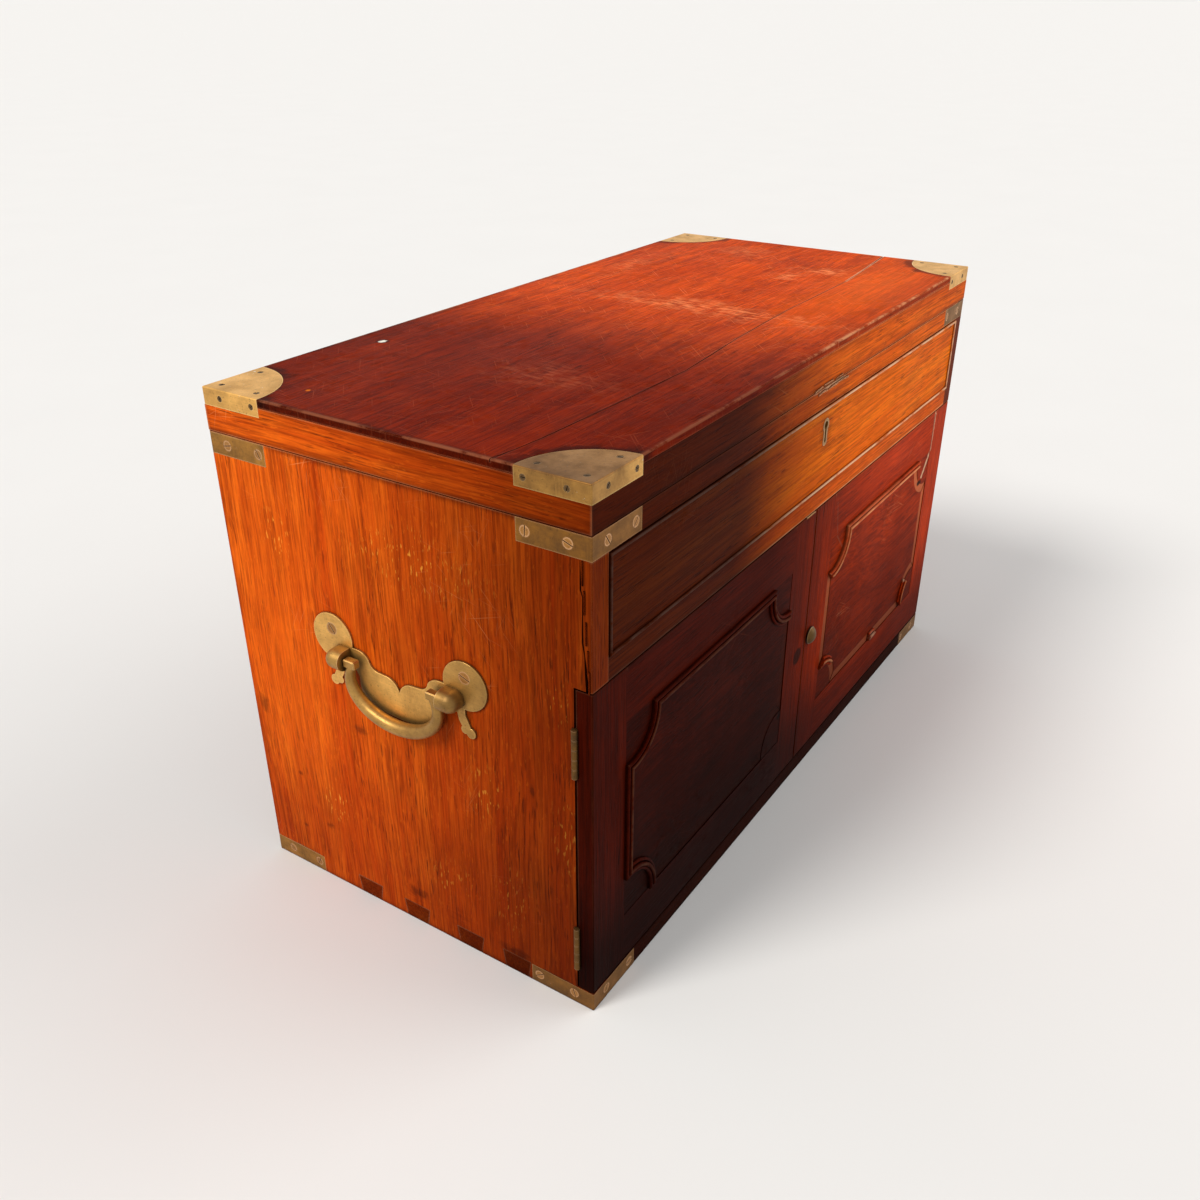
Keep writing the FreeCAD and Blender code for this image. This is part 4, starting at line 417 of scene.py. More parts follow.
@cache
def corner_halo_group():
    """Dirt round the quarter-round corner plates."""
    sheet, at, given, out = new_group("corner halo", "Mask", Radius=0.074, Reach=0.03)
    folded = sheet.vector("ABSOLUTE", at)
    away = sheet.vector("SUBTRACT", folded, (END_X, -FACE_Y, TOP_Z))
    away = sheet.vector("MULTIPLY", away, (1.0, 1.0, 0.0))
    ring = sheet.minus(sheet.vector("LENGTH", away), given["Radius"])
    rough = sheet.times(sheet.swing(at, 34.0, 5.0, 0.65), 0.05)
    ring = sheet.math("DIVIDE", sheet.plus(ring, rough), given["Reach"])
    sheet.feed(out["Mask"], sheet.spread(ring, 1.0, 0.0, smooth=True))
    return sheet.tree


@cache
def patina_group():
    """Aged brass: broad tarnish, fine dark spots and long streaks."""
    sheet, at, given, out = new_group("brass patina", "Tarnish", "Spots", "Streak", Offset=0.0)
    start = sheet.vector("ADD", at, sheet.alike(given["Offset"]))
    broad = sheet.noise(start, 34.0, 6.0, 0.65)
    sheet.feed(out["Tarnish"], sheet.spread(broad, 0.36, 0.66))
    spots = sheet.noise(start, 420.0, 3.0, 0.6)
    sheet.feed(out["Spots"], sheet.spread(spots, 0.60, 0.70))
    streak = sheet.drawn(start, (60.0, 60.0, 900.0), 3.0)
    sheet.feed(out["Streak"], sheet.spread(streak, 0.35, 0.7))
    return sheet.tree


# ---------------------------------------------------------------- finishes
def start_material(name):
    material = bpy.data.materials.new(name)
    material.use_nodes = True
    material.node_tree.nodes.clear()
    sheet = NodeSheet(material.node_tree)
    place = sheet.add("ShaderNodeTexCoord").outputs["Object"]
    shader = sheet.add("ShaderNodeBsdfPrincipled")
    sheet.add("ShaderNodeOutputMaterial", {"Surface": shader.outputs[0]})
    return material, sheet, place, shader


def finish_shader(sheet, shader, colour, roughness, height, strength, distance):
    """Feeds the shader its colour and roughness, and the height as a bump."""
    bump = sheet.add("ShaderNodeBump", {"Strength": strength, "Distance": distance, "Height": height})
    sheet.feed(shader.inputs["Base Color"], colour)
    sheet.feed(shader.inputs["Roughness"], roughness)
    sheet.feed(shader.inputs["Normal"], bump.outputs[0])


def patch(sheet, place, centre, reach, soft, ragged, grit):
    return sheet.use(patch_group(), place, Centre=centre, Reach=reach, Soft=soft, Ragged=ragged,
                     Grit=grit)["Mask"]


def with_painted_shade(sheet, place, colour, shades):
    """The colour with painted shade: multiplied by each tint, in full at its first level and not past its
    second.
    """
    for axis, full, none, tint in shades:
        level = sheet.part(place, axis)
        drift = sheet.swing(place, 5.0, 3.0)
        level = sheet.plus(level, sheet.times(drift, (none - full) * 0.3))
        mask = sheet.spread(level, full, none, 1.0, 0.0, smooth=True)
        colour = sheet.blend(mask, colour, tint, "MULTIPLY")
    return colour


def in_order(corner, order):
    return tuple(getattr(corner, letter) for letter in order)


def polished_wood(name, order, light, deep, board, offset, band, wander, figure, scratches, wear,
                  dirt=0.4, width=0.0, gloss=None, marks=(), shades=(), shelter=1.0):
    """Old polished mahogany, its grain along the first axis named in order.

    board names the node whose outline wears and gathers dirt. offset moves the grain to another
    part of the tree, band is the scale of its broad streaks and wander how far they drift. figure,
    scratches, wear, dirt and gloss are shares; width is how wide the arrises are rubbed and shelter
    how much a crevice is spared. marks lists what is painted over the wood: (kind, colour,
    strength, *where). The shade table lays painted shade over it, darker where less light falls.
    """
    colours = palette()
    sizes = bpy.context.scene.chest_sizes
    material, sheet, place, shader = start_material(name)
    along = sheet.ordered(place, order)
    grain = sheet.use(wood_grain_group(), along, Wander=wander, Band=band, Offset=offset)
    middle = mixed(light, deep, 0.55)
    colour = sheet.ramp(grain["Tone"], [(0.0, deep), (0.5, middle), (1.0, light)])
    colour = sheet.lay(grain["Figure"], figure, colour, deep)
    colour = sheet.lay(grain["Fibre"], 0.62, colour, scaled(deep, 0.3))
    colour = sheet.lay(grain["Pore"], 0.7, colour, colours.grime_and_shade)
    fade = sheet.noise(place, 5.0, 3.0)
    colour = sheet.blend(sheet.spread(fade, 0.35, 0.65, 0.0, 0.3), colour, deep)
    mottle = sheet.drawn(along, (14.0, 55.0, 55.0), 5.0, 0.7)
    colour = sheet.blend(sheet.spread(mottle, 0.48, 0.66, 0.0, figure), colour, scaled(deep, 0.4))
    aside = sheet.vector("ADD", along, (0.31, 0.17, 0.23))
    flame = sheet.use(fleck_group(), aside, Amount=0.9)
    colour = sheet.lay(flame["Mask"], 0.3, colour, light)
    scratch = sheet.use(scratch_group(), along, Length=16.0, Amount=scratches)
    pale = mixed(light, colours.worn_wood, 0.4)
    colour = sheet.lay(scratch["Mask"], 0.7, colour, pale)
    dull = sheet.times(scratch["Scuff"], 0.1)
    colour = sheet.blend(dull, colour, pale)
    low, high = (in_order(corner, order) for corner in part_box(board))
    centre = tuple((a + b) / 2 for a, b in zip(low, high))
    half = tuple((b - a) / 2 for a, b in zip(low, high))

    def rim(reach, ragged):
        """How near a point is to the board's outline."""
        return sheet.use(rim_group(), along, Centre=centre, Half=half, Reach=reach,
                         Ragged=ragged)["Mask"]

    colour = sheet.lay(rim(sizes.edge_dirt, 1.2), dirt, colour, scaled(deep, 0.3))
    gap = None
    drips = []
    for kind, tint, strength, *where in marks:
        if kind == "halo":
            mask = sheet.use(corner_halo_group(), place, Reach=sizes.corner_halo)["Mask"]
        elif kind == "level":
            axis, level, reach = where
            away = sheet.math("ABSOLUTE", sheet.minus(sheet.part(place, axis), level))
            rough = sheet.times(sheet.swing(place, 26.0, 4.0), reach * 1.6)
            mask = sheet.spread(sheet.plus(away, rough), reach, 0.0, smooth=True)
        elif kind == "scuff":
            streak = sheet.drawn(place, (260.0, 60.0, 260.0), 4.0, 0.6)
            mask = sheet.times(patch(sheet, place, *where), sheet.spread(streak, 0.44, 0.6))
        elif kind == "flecks":
            mask = sheet.times(patch(sheet, place, *where),
                               sheet.use(fleck_group(), along, Amount=1.0)["Mask"])
        elif kind == "lip":
            level, reach = where
            rub = sheet.drawn(along, (22.0, 22.0, 22.0), 5.0, 0.7)
            upper = sheet.spread(sheet.part(place, "Z"), level - 0.002, level - 0.001)
            mask = sheet.times(rim(reach, 0.8), upper)
            mask = sheet.times(mask, sheet.spread(rub, 0.44, 0.54))
        elif kind == "proud":
            axis, level, reach = where
            mask = sheet.part(place, axis)
            rub = sheet.drawn(along, (30.0, 90.0, 90.0), 4.0, 0.65)
            mask = sheet.times(sheet.spread(mask, level + reach, level), sheet.spread(rub, 0.36, 0.54))
        elif kind == "sunk":
            face, depth = where
            mask = sheet.part(place, "Y")
            near_side = sheet.spread(mask, face + 0.0002, face + 0.0004)
            mask = sheet.times(near_side, sheet.spread(mask, face + depth + 0.001, face + depth))
        elif kind == "crack":
            first, last, crack_width, flank = where
            found = sheet.use(crack_group(), place, Start=first, End=last, Width=crack_width,
                              Wander=0.0008)
            colour = sheet.lay(found["Flank"], flank, colour, colours.torn_wood)
            mask = found["Core"]
            gap = mask if gap is None else sheet.math("MAXIMUM", gap, mask)
        else:
            mask = patch(sheet, place, *where)
        if kind == "paint":
            drips.append((sheet.times(mask, strength), tint))
        else:
            colour = sheet.lay(mask, strength, colour, tint)
    edge = sheet.use(arris_group(), place, Width=width or sizes.arris_wear, Ragged=0.55,
                     Shelter=shelter)
    bare = sheet.times(sheet.times(edge["Mask"], wear), rim(0.006, 0.0))
    colour = sheet.blend(bare, colour, colours.worn_wood)
    # dirt and painted shade in crevices
    colour = sheet.lay(edge["Crevice"], 0.85, colour, colours.grime_and_shade)
    # painted shade: darker where less light falls, from the shade table
    colour = with_painted_shade(sheet, place, colour, shades)
    for mask, tint in drips:
        colour = sheet.blend(mask, colour, tint)
    base = 0.66 - 0.34 * (gloss if gloss is not None else sizes.gloss)
    rough = sheet.spread(fade, 0.3, 0.7, base, base + 0.1)
    rough = sheet.plus(rough, sheet.times(dull, 1.6))
    rough = sheet.plus(rough, sheet.times(bare, 0.25))
    shader.inputs["Specular IOR Level"].default_value = POLISH_SHEEN
    shader.inputs["Specular Tint"].default_value = POLISH_TINT
    height = sheet.times(grain["Fibre"], -0.3)
    height = sheet.minus(height, sheet.times(grain["Pore"], 1.0))
    height = sheet.minus(height, sheet.times(scratch["Mask"], 0.8))
    if gap is not None:
        height = sheet.minus(height, sheet.times(gap, 3.0))
    finish_shader(sheet, shader, colour, rough, height, 0.35, 0.0004)
    return material


def bare_wood(name, order, light, deep, offset=0.0):
    """Unpolished lining wood."""
    material, sheet, place, shader = start_material(name)
    along = sheet.ordered(place, order)
    grain = sheet.use(wood_grain_group(), along, Wander=0.02, Band=34.0, Offset=offset)
    colour = sheet.ramp(grain["Tone"], [(0.0, deep), (1.0, light)])
    colour = sheet.lay(grain["Fibre"], 0.3, colour, deep)
    stain = sheet.noise(place, 9.0, 5.0, 0.65)
    colour = sheet.blend(sheet.spread(stain, 0.5, 0.75, 0.0, 0.35), colour, scaled(deep, 0.5))
    rough = sheet.spread(grain["Tone"], 0.0, 1.0, 0.75, 0.62)
    finish_shader(sheet, shader, colour, rough, sheet.times(grain["Fibre"], -1.0), 0.3, 0.0004)
    return material


def aged_brass(name, light, deep, offset, rough, tarnish, specks=0.0, shades=()):
    """Old brass: olive tarnish, dark spots, bright rubbed edges and a few paint specks."""
    colours = palette()
    material, sheet, place, shader = start_material(name)
    film = sheet.use(patina_group(), place, Offset=offset)
    veil = sheet.times(film["Tarnish"], tarnish)
    colour = sheet.blend(veil, light, deep)
    dark = scaled(deep, 0.4)
    colour = sheet.lay(film["Spots"], 0.5, colour, dark)
    colour = sheet.lay(film["Streak"], 0.14, colour, dark)
    scratch = sheet.use(scratch_group(), place, Length=34.0, Amount=0.9)
    colour = sheet.lay(scratch["Mask"], 0.4, colour, light)
    edge = sheet.use(arris_group(), place, Width=0.0022, Ragged=0.3, Shelter=0.5)
    lift = 0.12 * min(1.0, 2.5 * max(light))
    bright = tuple(min(1.0, part * 1.2 + lift) for part in light)
    colour = sheet.lay(edge["Mask"], 0.85, colour, bright)
    # dirt and painted shade in the brass's crevices
    colour = sheet.lay(edge["Crevice"], 0.7, colour, scaled(deep, 0.2))
    metal = sheet.minus(0.8, sheet.times(veil, 0.25))
    if specks:
        paint = sheet.spread(sheet.noise(place, 210.0, 2.0), 0.73, 0.745, 0.0, specks)
        colour = sheet.blend(paint, colour, colours.paint_spot)
        metal = sheet.times(metal, sheet.minus(1.0, paint))
    # painted shade: darker where less light falls, from the shade table
    colour = with_painted_shade(sheet, place, colour, shades)
    sheet.feed(shader.inputs["Metallic"], metal)
    rough = sheet.minus(sheet.plus(rough, sheet.times(veil, 0.2)), sheet.times(edge["Mask"], 0.1))
    height = sheet.plus(sheet.times(film["Spots"], -1.0), film["Tarnish"])
    finish_shader(sheet, shader, colour, rough, height, 0.25, 0.0003)
    return material


def dress(material, *nodes):
    """Gives CAD nodes their finish."""
    for node in nodes:
        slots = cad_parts[node].data.materials
        slots.clear()
        slots.append(material)


def polish(node, name, order, light, deep, *grain, board=None, **more):
    """Gives one CAD node its own polished finish, worn along the board's outline or its own.

    grain is its offset, band, wander, figure, scratches, wear and dirt.
    """
    wood = polished_wood("mahogany " + name, order, light, deep, board or node, *grain, **more)
    dress(wood, node)


def brass(nodes, name, light, deep, *film, **more):
    """Gives CAD nodes one brass finish; film is its offset, roughness and tarnish."""
    dress(aged_brass("brass " + name, light, deep, *film, **more), *nodes)


def front_mark(along, up, reach_x=1.0, reach_z=1.0):
    """Centre and reach of a patch on the front, from the left end and the floor in millimetres."""
    centre = (along / 1000.0 - END_X, FACE_Y, up / 1000.0)
    return centre, (reach_x / 1000.0, 0.02, reach_z / 1000.0)


def top_mark(along, inset, reach_x=1.0, reach_y=1.0):
    """Centre and reach of a patch on the lid, from the left end and the front in millimetres."""
    centre = (along / 1000.0 - END_X, FACE_Y + inset / 1000.0, TOP_Z)
    return centre, (reach_x / 1000.0, reach_y / 1000.0, 0.006)


def end_mark(from_back, up, reach_y, reach_z):
    """Centre and reach of a patch on the left end, from the back and the floor in millimetres."""
    centre = (-END_X, -FACE_Y - from_back / 1000.0, up / 1000.0)
    return centre, (0.03, reach_y / 1000.0, reach_z / 1000.0)


def marks_at(kind, colour, strength, mark, places, *edge):
    """Marks of one kind at several places; edge is their softness, raggedness and grit."""
    return [(kind, colour, strength, *mark(*place), *edge) for place in places]


def crack(colour, strength, mark, start, stop, width, flank):
    """A crack between two places; flank is how pale its torn edges are."""
    return ("crack", colour, strength, mark(*start)[0], mark(*stop)[0], width, flank)


# ---------------------------------------------------------------- added pieces
def only(thing):
    bpy.ops.object.select_all(action="DESELECT")
    thing.select_set(True)
    bpy.context.view_layer.objects.active = thing


def settle(thing, name, material, body):
    """Puts the place into the mesh, names the piece and makes it ride."""
    only(thing)
    bpy.ops.object.transform_apply(location=True, rotation=True, scale=True)
    thing.name = name
    thing.data.name = name
    thing.data.materials.clear()
    thing.data.materials.append(material)
    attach(thing, body)


def sliver(middle, size, turn, seed):
    """One splinter of wood: a bar with both its ends sliced to uneven points."""
    chance = random.Random(seed)
    bpy.ops.mesh.primitive_cube_add(size=1.0, location=middle, rotation=turn)
    bar = bpy.context.object
    bar.scale = size
    bpy.ops.object.transform_apply(location=True, rotation=True, scale=True)
    tilt = Euler(turn).to_matrix()
    bpy.ops.object.mode_set(mode="EDIT")
    for end in (-1, 1):
        tip = (end * size[0] / 2, chance.uniform(-0.3, 0.3) * size[1], chance.uniform(-0.3, 0.3) * size[2])
        for axis, side in ((1, -1), (1, 1), (2, -1), (2, 1)):
            slope = [end * size[axis] / 2, 0.0, 0.0]
            slope[axis] = side * size[0] / 2 * SLICED_SHARE * chance.uniform(0.6, 1.0)
            bpy.ops.mesh.select_all(action="SELECT")
            bpy.ops.mesh.bisect(plane_co=Vector(middle) + tilt @ Vector(tip), plane_no=tilt @ Vector(slope),
                                use_fill=True, clear_outer=True)
    bpy.ops.object.mode_set(mode="OBJECT")
    return bar


def joined_piece(parts, name, material, body):
    """Makes one piece of several, with its faces turned outwards."""
    whole = parts[0]
    only(whole)
    for part in parts:
        part.select_set(True)
    bpy.ops.object.join()
    bpy.ops.object.mode_set(mode="EDIT")
    bpy.ops.mesh.select_all(action="SELECT")
    bpy.ops.mesh.normals_make_consistent(inside=False)
    bpy.ops.object.mode_set(mode="OBJECT")
    settle(whole, name, material, body)


# ---------------------------------------------------------------- operators
class CHEST_OT_finish_ends(bpy.types.Operator):
    """Finish the two end boards and the bottom board's pins"""
    bl_idname = "chest.finish_ends"
    bl_label = "Finish the ends"

    def execute(self, context):
        c = palette()
        gold = (c.end_light[0], c.end_light[1] * 1.9, c.end_light[2] * 4.0)
        deep_tone = scaled(c.end_deep, 0.45)
        seam = [("level", c.grime_and_shade, 0.45, "Z", SEAM_Z, 0.006)]
        marks = [
            # painted light: a paler band up the back of the end, where more light falls
            ("patch", c.end_light, 0.3, *end_mark(60, 260, 70, 200), 1.0, 0.5, 8.0),
            *marks_at("scuff", deep_tone, 0.6, end_mark, (
                (212, 24, 24, 30), (276, 20, 22, 26), (345, 16, 26, 22)), 1.0, 0.6, 40.0),
            *marks_at("flecks", gold, 0.95, end_mark, (
                (412, 200, 22, 60), (320, 210, 26, 40), (345, 95, 30, 45), (75, 420, 22, 36),
                (250, 440, 90, 40), (265, 80, 30, 26), (110, 110, 24, 30), (405, 350, 16, 30)),
                0.8, 0.6, 20.0),
            *marks_at("patch", c.grime_and_shade, 0.5, end_mark, (
                (14, 208, 9, 16), (160, 226, 12, 6), (55, 131, 5, 4), (372, 241, 3, 8),
                (92, 75, 7, 6), (52, 57, 5, 4), (215, 40, 18, 8), (345, 26, 26, 8)), 0.7, 0.8, 70.0),
            *seam,
        ]
        for side, offset, worn in (("left", 0.0, marks), ("right", 3.7, seam)):
            polish("end_panel_" + side, "end " + side, "zyx", c.end_light, c.end_deep, offset,
                   30.0, 0.02, 0.25, 0.4, 0.45, 0.35, marks=worn, shades=END_PAINTED_SHADE)
        # painted shade: the bottom board darker along its front edge
        edge = (("Y", FACE_Y + 0.002, FACE_Y + 0.006, (0.3, 0.28, 0.3)),)
        polish("bottom_board", "bottom", "xzy", scaled(c.end_light, 0.6), scaled(c.end_deep, 0.5), 1.3,
               30.0, 0.01, 0.4, 0.3, 0.4, gloss=0.3, shades=END_PAINTED_SHADE + edge)
        return {"FINISHED"}


class CHEST_OT_finish_lid(bpy.types.Operator):
    """Finish the lid's board and its rim"""
    bl_idname = "chest.finish_lid"
    bl_label = "Finish the lid"

    def execute(self, context):
        c = palette()
        dust_and_sheen = mixed(c.top_light, c.worn_wood, 0.5)
        painted_light_tone = mixed(c.top_light, c.drawer_light, 0.35)
        deep_tone = scaled(c.top_deep, 0.3)
        marks = [
            # painted light: the lid's front strip paler towards the right end
            ("patch", painted_light_tone, 0.35, *top_mark(720, 60, 330, 90), 0.9, 0.3, 9.0),
            # painted shade: the lid's front strip darker towards the left end
            ("patch", deep_tone, 0.35, *top_mark(130, 24, 190, 34), 0.9, 0.5, 14.0),
            ("scuff", dust_and_sheen, 0.95, *top_mark(520, 190, 40, 170), 1.0, 0.7, 30.0),
            ("scuff", dust_and_sheen, 0.9, *top_mark(775, 145, 26, 50), 0.9, 0.8, 50.0),
            ("scuff", dust_and_sheen, 0.9, *top_mark(725, 180, 38, 24), 0.9, 0.8, 60.0),
            ("scuff", dust_and_sheen, 0.9, *top_mark(205, 180, 46, 80), 1.0, 0.8, 50.0),
            # dust and painted sheen: these two faint pale scuffs at the back right stand for glare on the
            # far part of the lid
            ("scuff", dust_and_sheen, 0.45, *top_mark(840, 300, 50, 60), 1.0, 0.7, 30.0),
            ("scuff", dust_and_sheen, 0.4, *top_mark(680, 385, 120, 30), 1.0, 0.7, 30.0),
            ("patch", c.grime_and_shade, 0.4, *top_mark(275, 248, 26, 4), 0.8, 0.6, 70.0),
            ("patch", c.grime_and_shade, 0.35, *top_mark(470, 206, 30, 3), 0.8, 0.6, 70.0),
            ("level", c.grime_and_shade, 0.5, "X", -END_X, 0.008),
            ("level", c.grime_and_shade, 0.4, "Y", -FACE_Y, 0.008),
            ("halo", c.grime_and_shade, 0.7),
            ("lip", c.worn_wood, 0.85, TOP_Z, 0.005),
            ("patch", c.grime_and_shade, 0.7, *top_mark(207, 402, 9, 9), 0.4, 0.6, 120.0),
            ("paint", c.drawer_light, 0.5, *top_mark(45, 345, 3, 3), 0.4, 0.7, 120.0),
            ("paint", c.paint_spot, 1.0, *top_mark(207, 402, 5, 5), 0.3, 0.7, 190.0),
        ]
        for start, stop in zip(LID_SPLIT, LID_SPLIT[1:]):
            strength, flank = (0.9, 0.1) if start[0] < SPLIT_CLOSES else (0.4, 0.5)
            marks.append(crack(c.grime_and_shade, strength, top_mark, start, stop, 0.0005, flank))
        polish("lid_board", "lid board", "xyz", c.top_light, c.top_deep, 0.6, 22.0,
               0.03, 0.5, 1.0, 0.75, 0.3, gloss=0.55, marks=marks, shades=TOP_PAINTED_SHADE)
        seam = [("level", c.grime_and_shade, 0.4, "Z", SEAM_Z, 0.005)]
        polish("lid_rim_front", "lid front", "xzy", c.rail_light, c.rail_deep, 2.1,
               34.0, 0.008, 0.2, 0.3, 0.5, 0.3, marks=seam, shades=FRONT_PAINTED_SHADE)
        polish("lid_rim_back", "lid back", "xzy", c.rail_light, c.rail_deep, 2.9,
               34.0, 0.008, 0.2, 0.3, 0.5, 0.3, marks=seam)
        polish("lid_rim_ends", "lid ends", "yzx", c.end_light, c.end_deep, 4.4,
               34.0, 0.01, 0.3, 0.4, 0.4, 0.3, marks=seam, shades=END_PAINTED_SHADE[:1])
        return {"FINISHED"}


class CHEST_OT_finish_drawer(bpy.types.Operator):
    """Finish the rails and the drawer's front, beads and lining"""
    bl_idname = "chest.finish_drawer"
    bl_label = "Finish the rails and drawer"

    def execute(self, context):
        c = palette()
        chipped = [("patch", c.torn_wood, 0.8, *front_mark(465, 511, 42, 3), 0.6, 0.9, 90.0)]
        rubbed = [("level", c.worn_wood, 0.9, "Z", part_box("drawer_rail")[0].z, 0.003)]
        for node, marks in (("top_rail", chipped), ("drawer_rail", rubbed)):
            polish(node, node, "xzy", c.rail_light, c.rail_deep, 5.2, 36.0, 0.006, 0.2, 0.3, 0.95, 0.3,
                   width=0.003, marks=marks, shades=FRONT_PAINTED_SHADE, shelter=0.3)
        fingered = [("patch", c.grime_and_shade, 0.55, *front_mark(459, 460, 18, 26), 0.9, 0.5, 60.0)]
        polish("drawer_front", "drawer front", "xzy", c.drawer_light, c.drawer_deep, 7.7, 40.0, 0.006,
               0.18, 0.35, 0.2, 0.35, marks=fingered, shades=FRONT_PAINTED_SHADE)
        proud = [("proud", c.torn_wood, 1.0, "Y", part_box("drawer_cockbeads")[0].y + 0.0002, 0.0014)]
        polish("drawer_cockbeads", "bead", "xzy", c.drawer_light, c.drawer_deep, 8.8, 60.0, 0.004,
               0.2, 0.3, 0.6, 0.2, width=0.0036, shades=FRONT_PAINTED_SHADE, shelter=0.2, marks=proud)
        lining = bare_wood("pine lining", "yzx", c.pine_light, c.pine_deep)
        dress(lining, "drawer_sides", "drawer_runners")
        boards = bare_wood("pine boards", "xyz", c.pine_light, c.pine_deep, 2.0)
        dress(boards, "drawer_back", "drawer_bottom", "dust_board", "well_floor", "drawer_stops",
              "door_stop")
        polish("back_board", "back", "xzy", scaled(c.rail_deep, 0.6), scaled(c.rail_deep, 0.3), 9.1,
               18.0, 0.02, 0.3, 0.5, 0.4, gloss=0.2)
        return {"FINISHED"}


class CHEST_OT_finish_doors(bpy.types.Operator):
    """Finish the doors' frames, panels and mouldings"""
    bl_idname = "chest.finish_doors"
    bl_label = "Finish the doors"

    def execute(self, context):
        c = palette()
        light, deep = c.door_light, c.door_deep
        dim = (scaled(light, 0.8), scaled(deep, 0.6))
        bare = mixed(c.worn_wood, light, 0.5)
        marks = {
            "left_door_stiles": [("patch", c.grime_and_shade, 0.8, *front_mark(438, 184, 12, 12), 0.25, 0.12, 80.0)],
            "right_door_stiles": [crack(c.grime_and_shade, 0.9, front_mark, (863, 362), (861.5, 311), 0.0012, 0.75)],
            "left_door_panel": [("sunk", bare, 0.12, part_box("left_door_panel")[0].y, 0.002),
                                ("patch", c.grime_and_shade, 0.95, *front_mark(398, 121, 5, 5), 0.4, 0.5, 60.0)],
            "right_door_panel": [crack(c.grime_and_shade, 0.15, front_mark, (861, 306), (838, 278), 0.0009, 0.85),
                                 crack(c.grime_and_shade, 0.7, front_mark, (530, 306), (550, 284), 0.0004, 0.1),
                                 ("sunk", bare, 0.55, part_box("right_door_panel")[0].y, 0.002),
                                 ("patch", c.grime_and_shade, 0.95, *front_mark(832, 270, 9, 5), 0.4, 0.5, 60.0)],
            "left_door_rails": [],
            "right_door_rails": [crack(c.grime_and_shade, 0.7, front_mark, (520, 352), (530, 308), 0.0004, 0.1)],
            "left_door_mouldings": [],
            "right_door_mouldings": [
                ("patch", bare, 0.4, *front_mark(640, 304, 200, 12), 0.6, 0.5, 60.0),
                ("patch", bare, 0.35, *front_mark(545, 278, 44, 40), 0.6, 0.5, 60.0),
                ("patch", c.torn_wood, 0.9, *front_mark(828, 126, 16, 7), 0.5, 0.5, 80.0),
                ("patch", c.torn_wood, 0.9, *front_mark(700, 88, 12, 8), 0.7, 0.5, 80.0)],
        }
        # piece, grain order, band, wander, figure, wear, dirt
        pieces = (("stiles", "zxy", 30.0, 0.01, 0.25, 0.6, 0.3),
                  ("rails", "xzy", 30.0, 0.01, 0.25, 0.6, 0.2),
                  ("panel", "xzy", 14.0, 0.09, 0.5, 0.0, 0.3),
                  ("mouldings", "xzy", 60.0, 0.01, 0.2, 0.7, 0.0))
        for side, offset in (("left", 11.0), ("right", 13.0)):
            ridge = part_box(side + "_door_mouldings")[0].y
            worn = ("proud", c.worn_wood, 0.75, "Y", ridge + 0.0001, 0.0008)
            marks[side + "_door_mouldings"].append(worn)
            for piece, order, band, wander, figure, wear, dirt in pieces:
                node = side + "_door_" + piece
                pale, dark = dim if piece == "panel" else (light, deep)
                polish(node, node, order, pale, dark, offset, band, wander, figure, 0.4, wear, dirt,
                       board=side + "_door_stiles" if piece == "rails" else node,
                       width=0.003 if piece == "mouldings" else 0.0, marks=marks[node],
                       shades=PANEL_PAINTED_SHADE if piece == "panel" else DOOR_PAINTED_SHADE)
                offset += 1.0
        return {"FINISHED"}


class CHEST_OT_finish_brass(bpy.types.Operator):
    """Finish the corner plates, straps, hinges, handles, lock and screws"""
    bl_idname = "chest.finish_brass"
    bl_label = "Finish the brass"

    def execute(self, context):
        c = palette()
        light, deep, brown, dull = c.brass_light, c.brass_deep, c.strap_light, c.strap_deep
        brass(("lid_corner_front_right", "lid_corner_back_left", "lid_corner_back_right"), "corner plate",
              light, deep, 0.0, 0.4, 0.7, specks=0.8)
        # heavier tarnish and painted shade: the front left corner plate is darker, most on its top face
        brass(("lid_corner_front_left",), "corner plate dark", light, deep, 0.4, 0.42, 1.0, specks=0.8,
              shades=CORNER_PAINTED_SHADE)
        brass(("handle_plate_left", "handle_plate_right"), "handle", light, deep, 1.7, 0.36, 0.75,
              shades=HANDLE_PAINTED_SHADE)
        brass(("left_bail", "right_bail", "handle_posts"), "grip", scaled(light, 0.62), scaled(deep, 0.55),
              2.3, 0.34, 0.7, shades=HANDLE_PAINTED_SHADE)
        brass(("drawer_escutcheon",), "lock plate", deep, dull, 2.9, 0.4, 0.5)
        # dark tarnish and painted shade: the knob is made dark like the shadowed meeting stiles round it
        brass(("turn_knob",), "knob", scaled(deep, 0.32), scaled(dull, 0.32), 3.3, 0.42, 0.7)
        brass(("top_straps", "foot_straps"), "strap", brown, dull, 3.1, 0.48, 0.95, specks=0.5,
              shades=STRAP_PAINTED_SHADE)
        brass(("lid_hinge_case_leaves", "lid_hinge_pins", "lid_hinge_leaves", "drawer_lock",
               "drawer_lock_bolt", "bolt_keeps", "door_bolt_plate", "door_bolt", "turn_tongue"),
              "fitting", brown, dull, 4.9, 0.5, 0.9)
        # painted shade: the door hinges are made much darker than the other fittings, standing in for
        # shadow at the doors' edges
        brass(("door_hinge_case_leaves", "door_hinge_pins", "left_door_hinge_leaves",
               "right_door_hinge_leaves"), "door hinge", scaled(brown, 0.42), scaled(dull, 0.4),
              5.4, 0.5, 0.9)
        brass(("case_screws", "handle_screws", "left_door_screws", "right_door_screws",
               "drawer_lock_screws"), "screw", c.screw_copper, dull, 6.3, 0.42, 0.5)
        brass(("lid_screws",), "plate screw", scaled(deep, 0.3), scaled(dull, 0.3), 7.9, 0.5, 0.9)
        return {"FINISHED"}


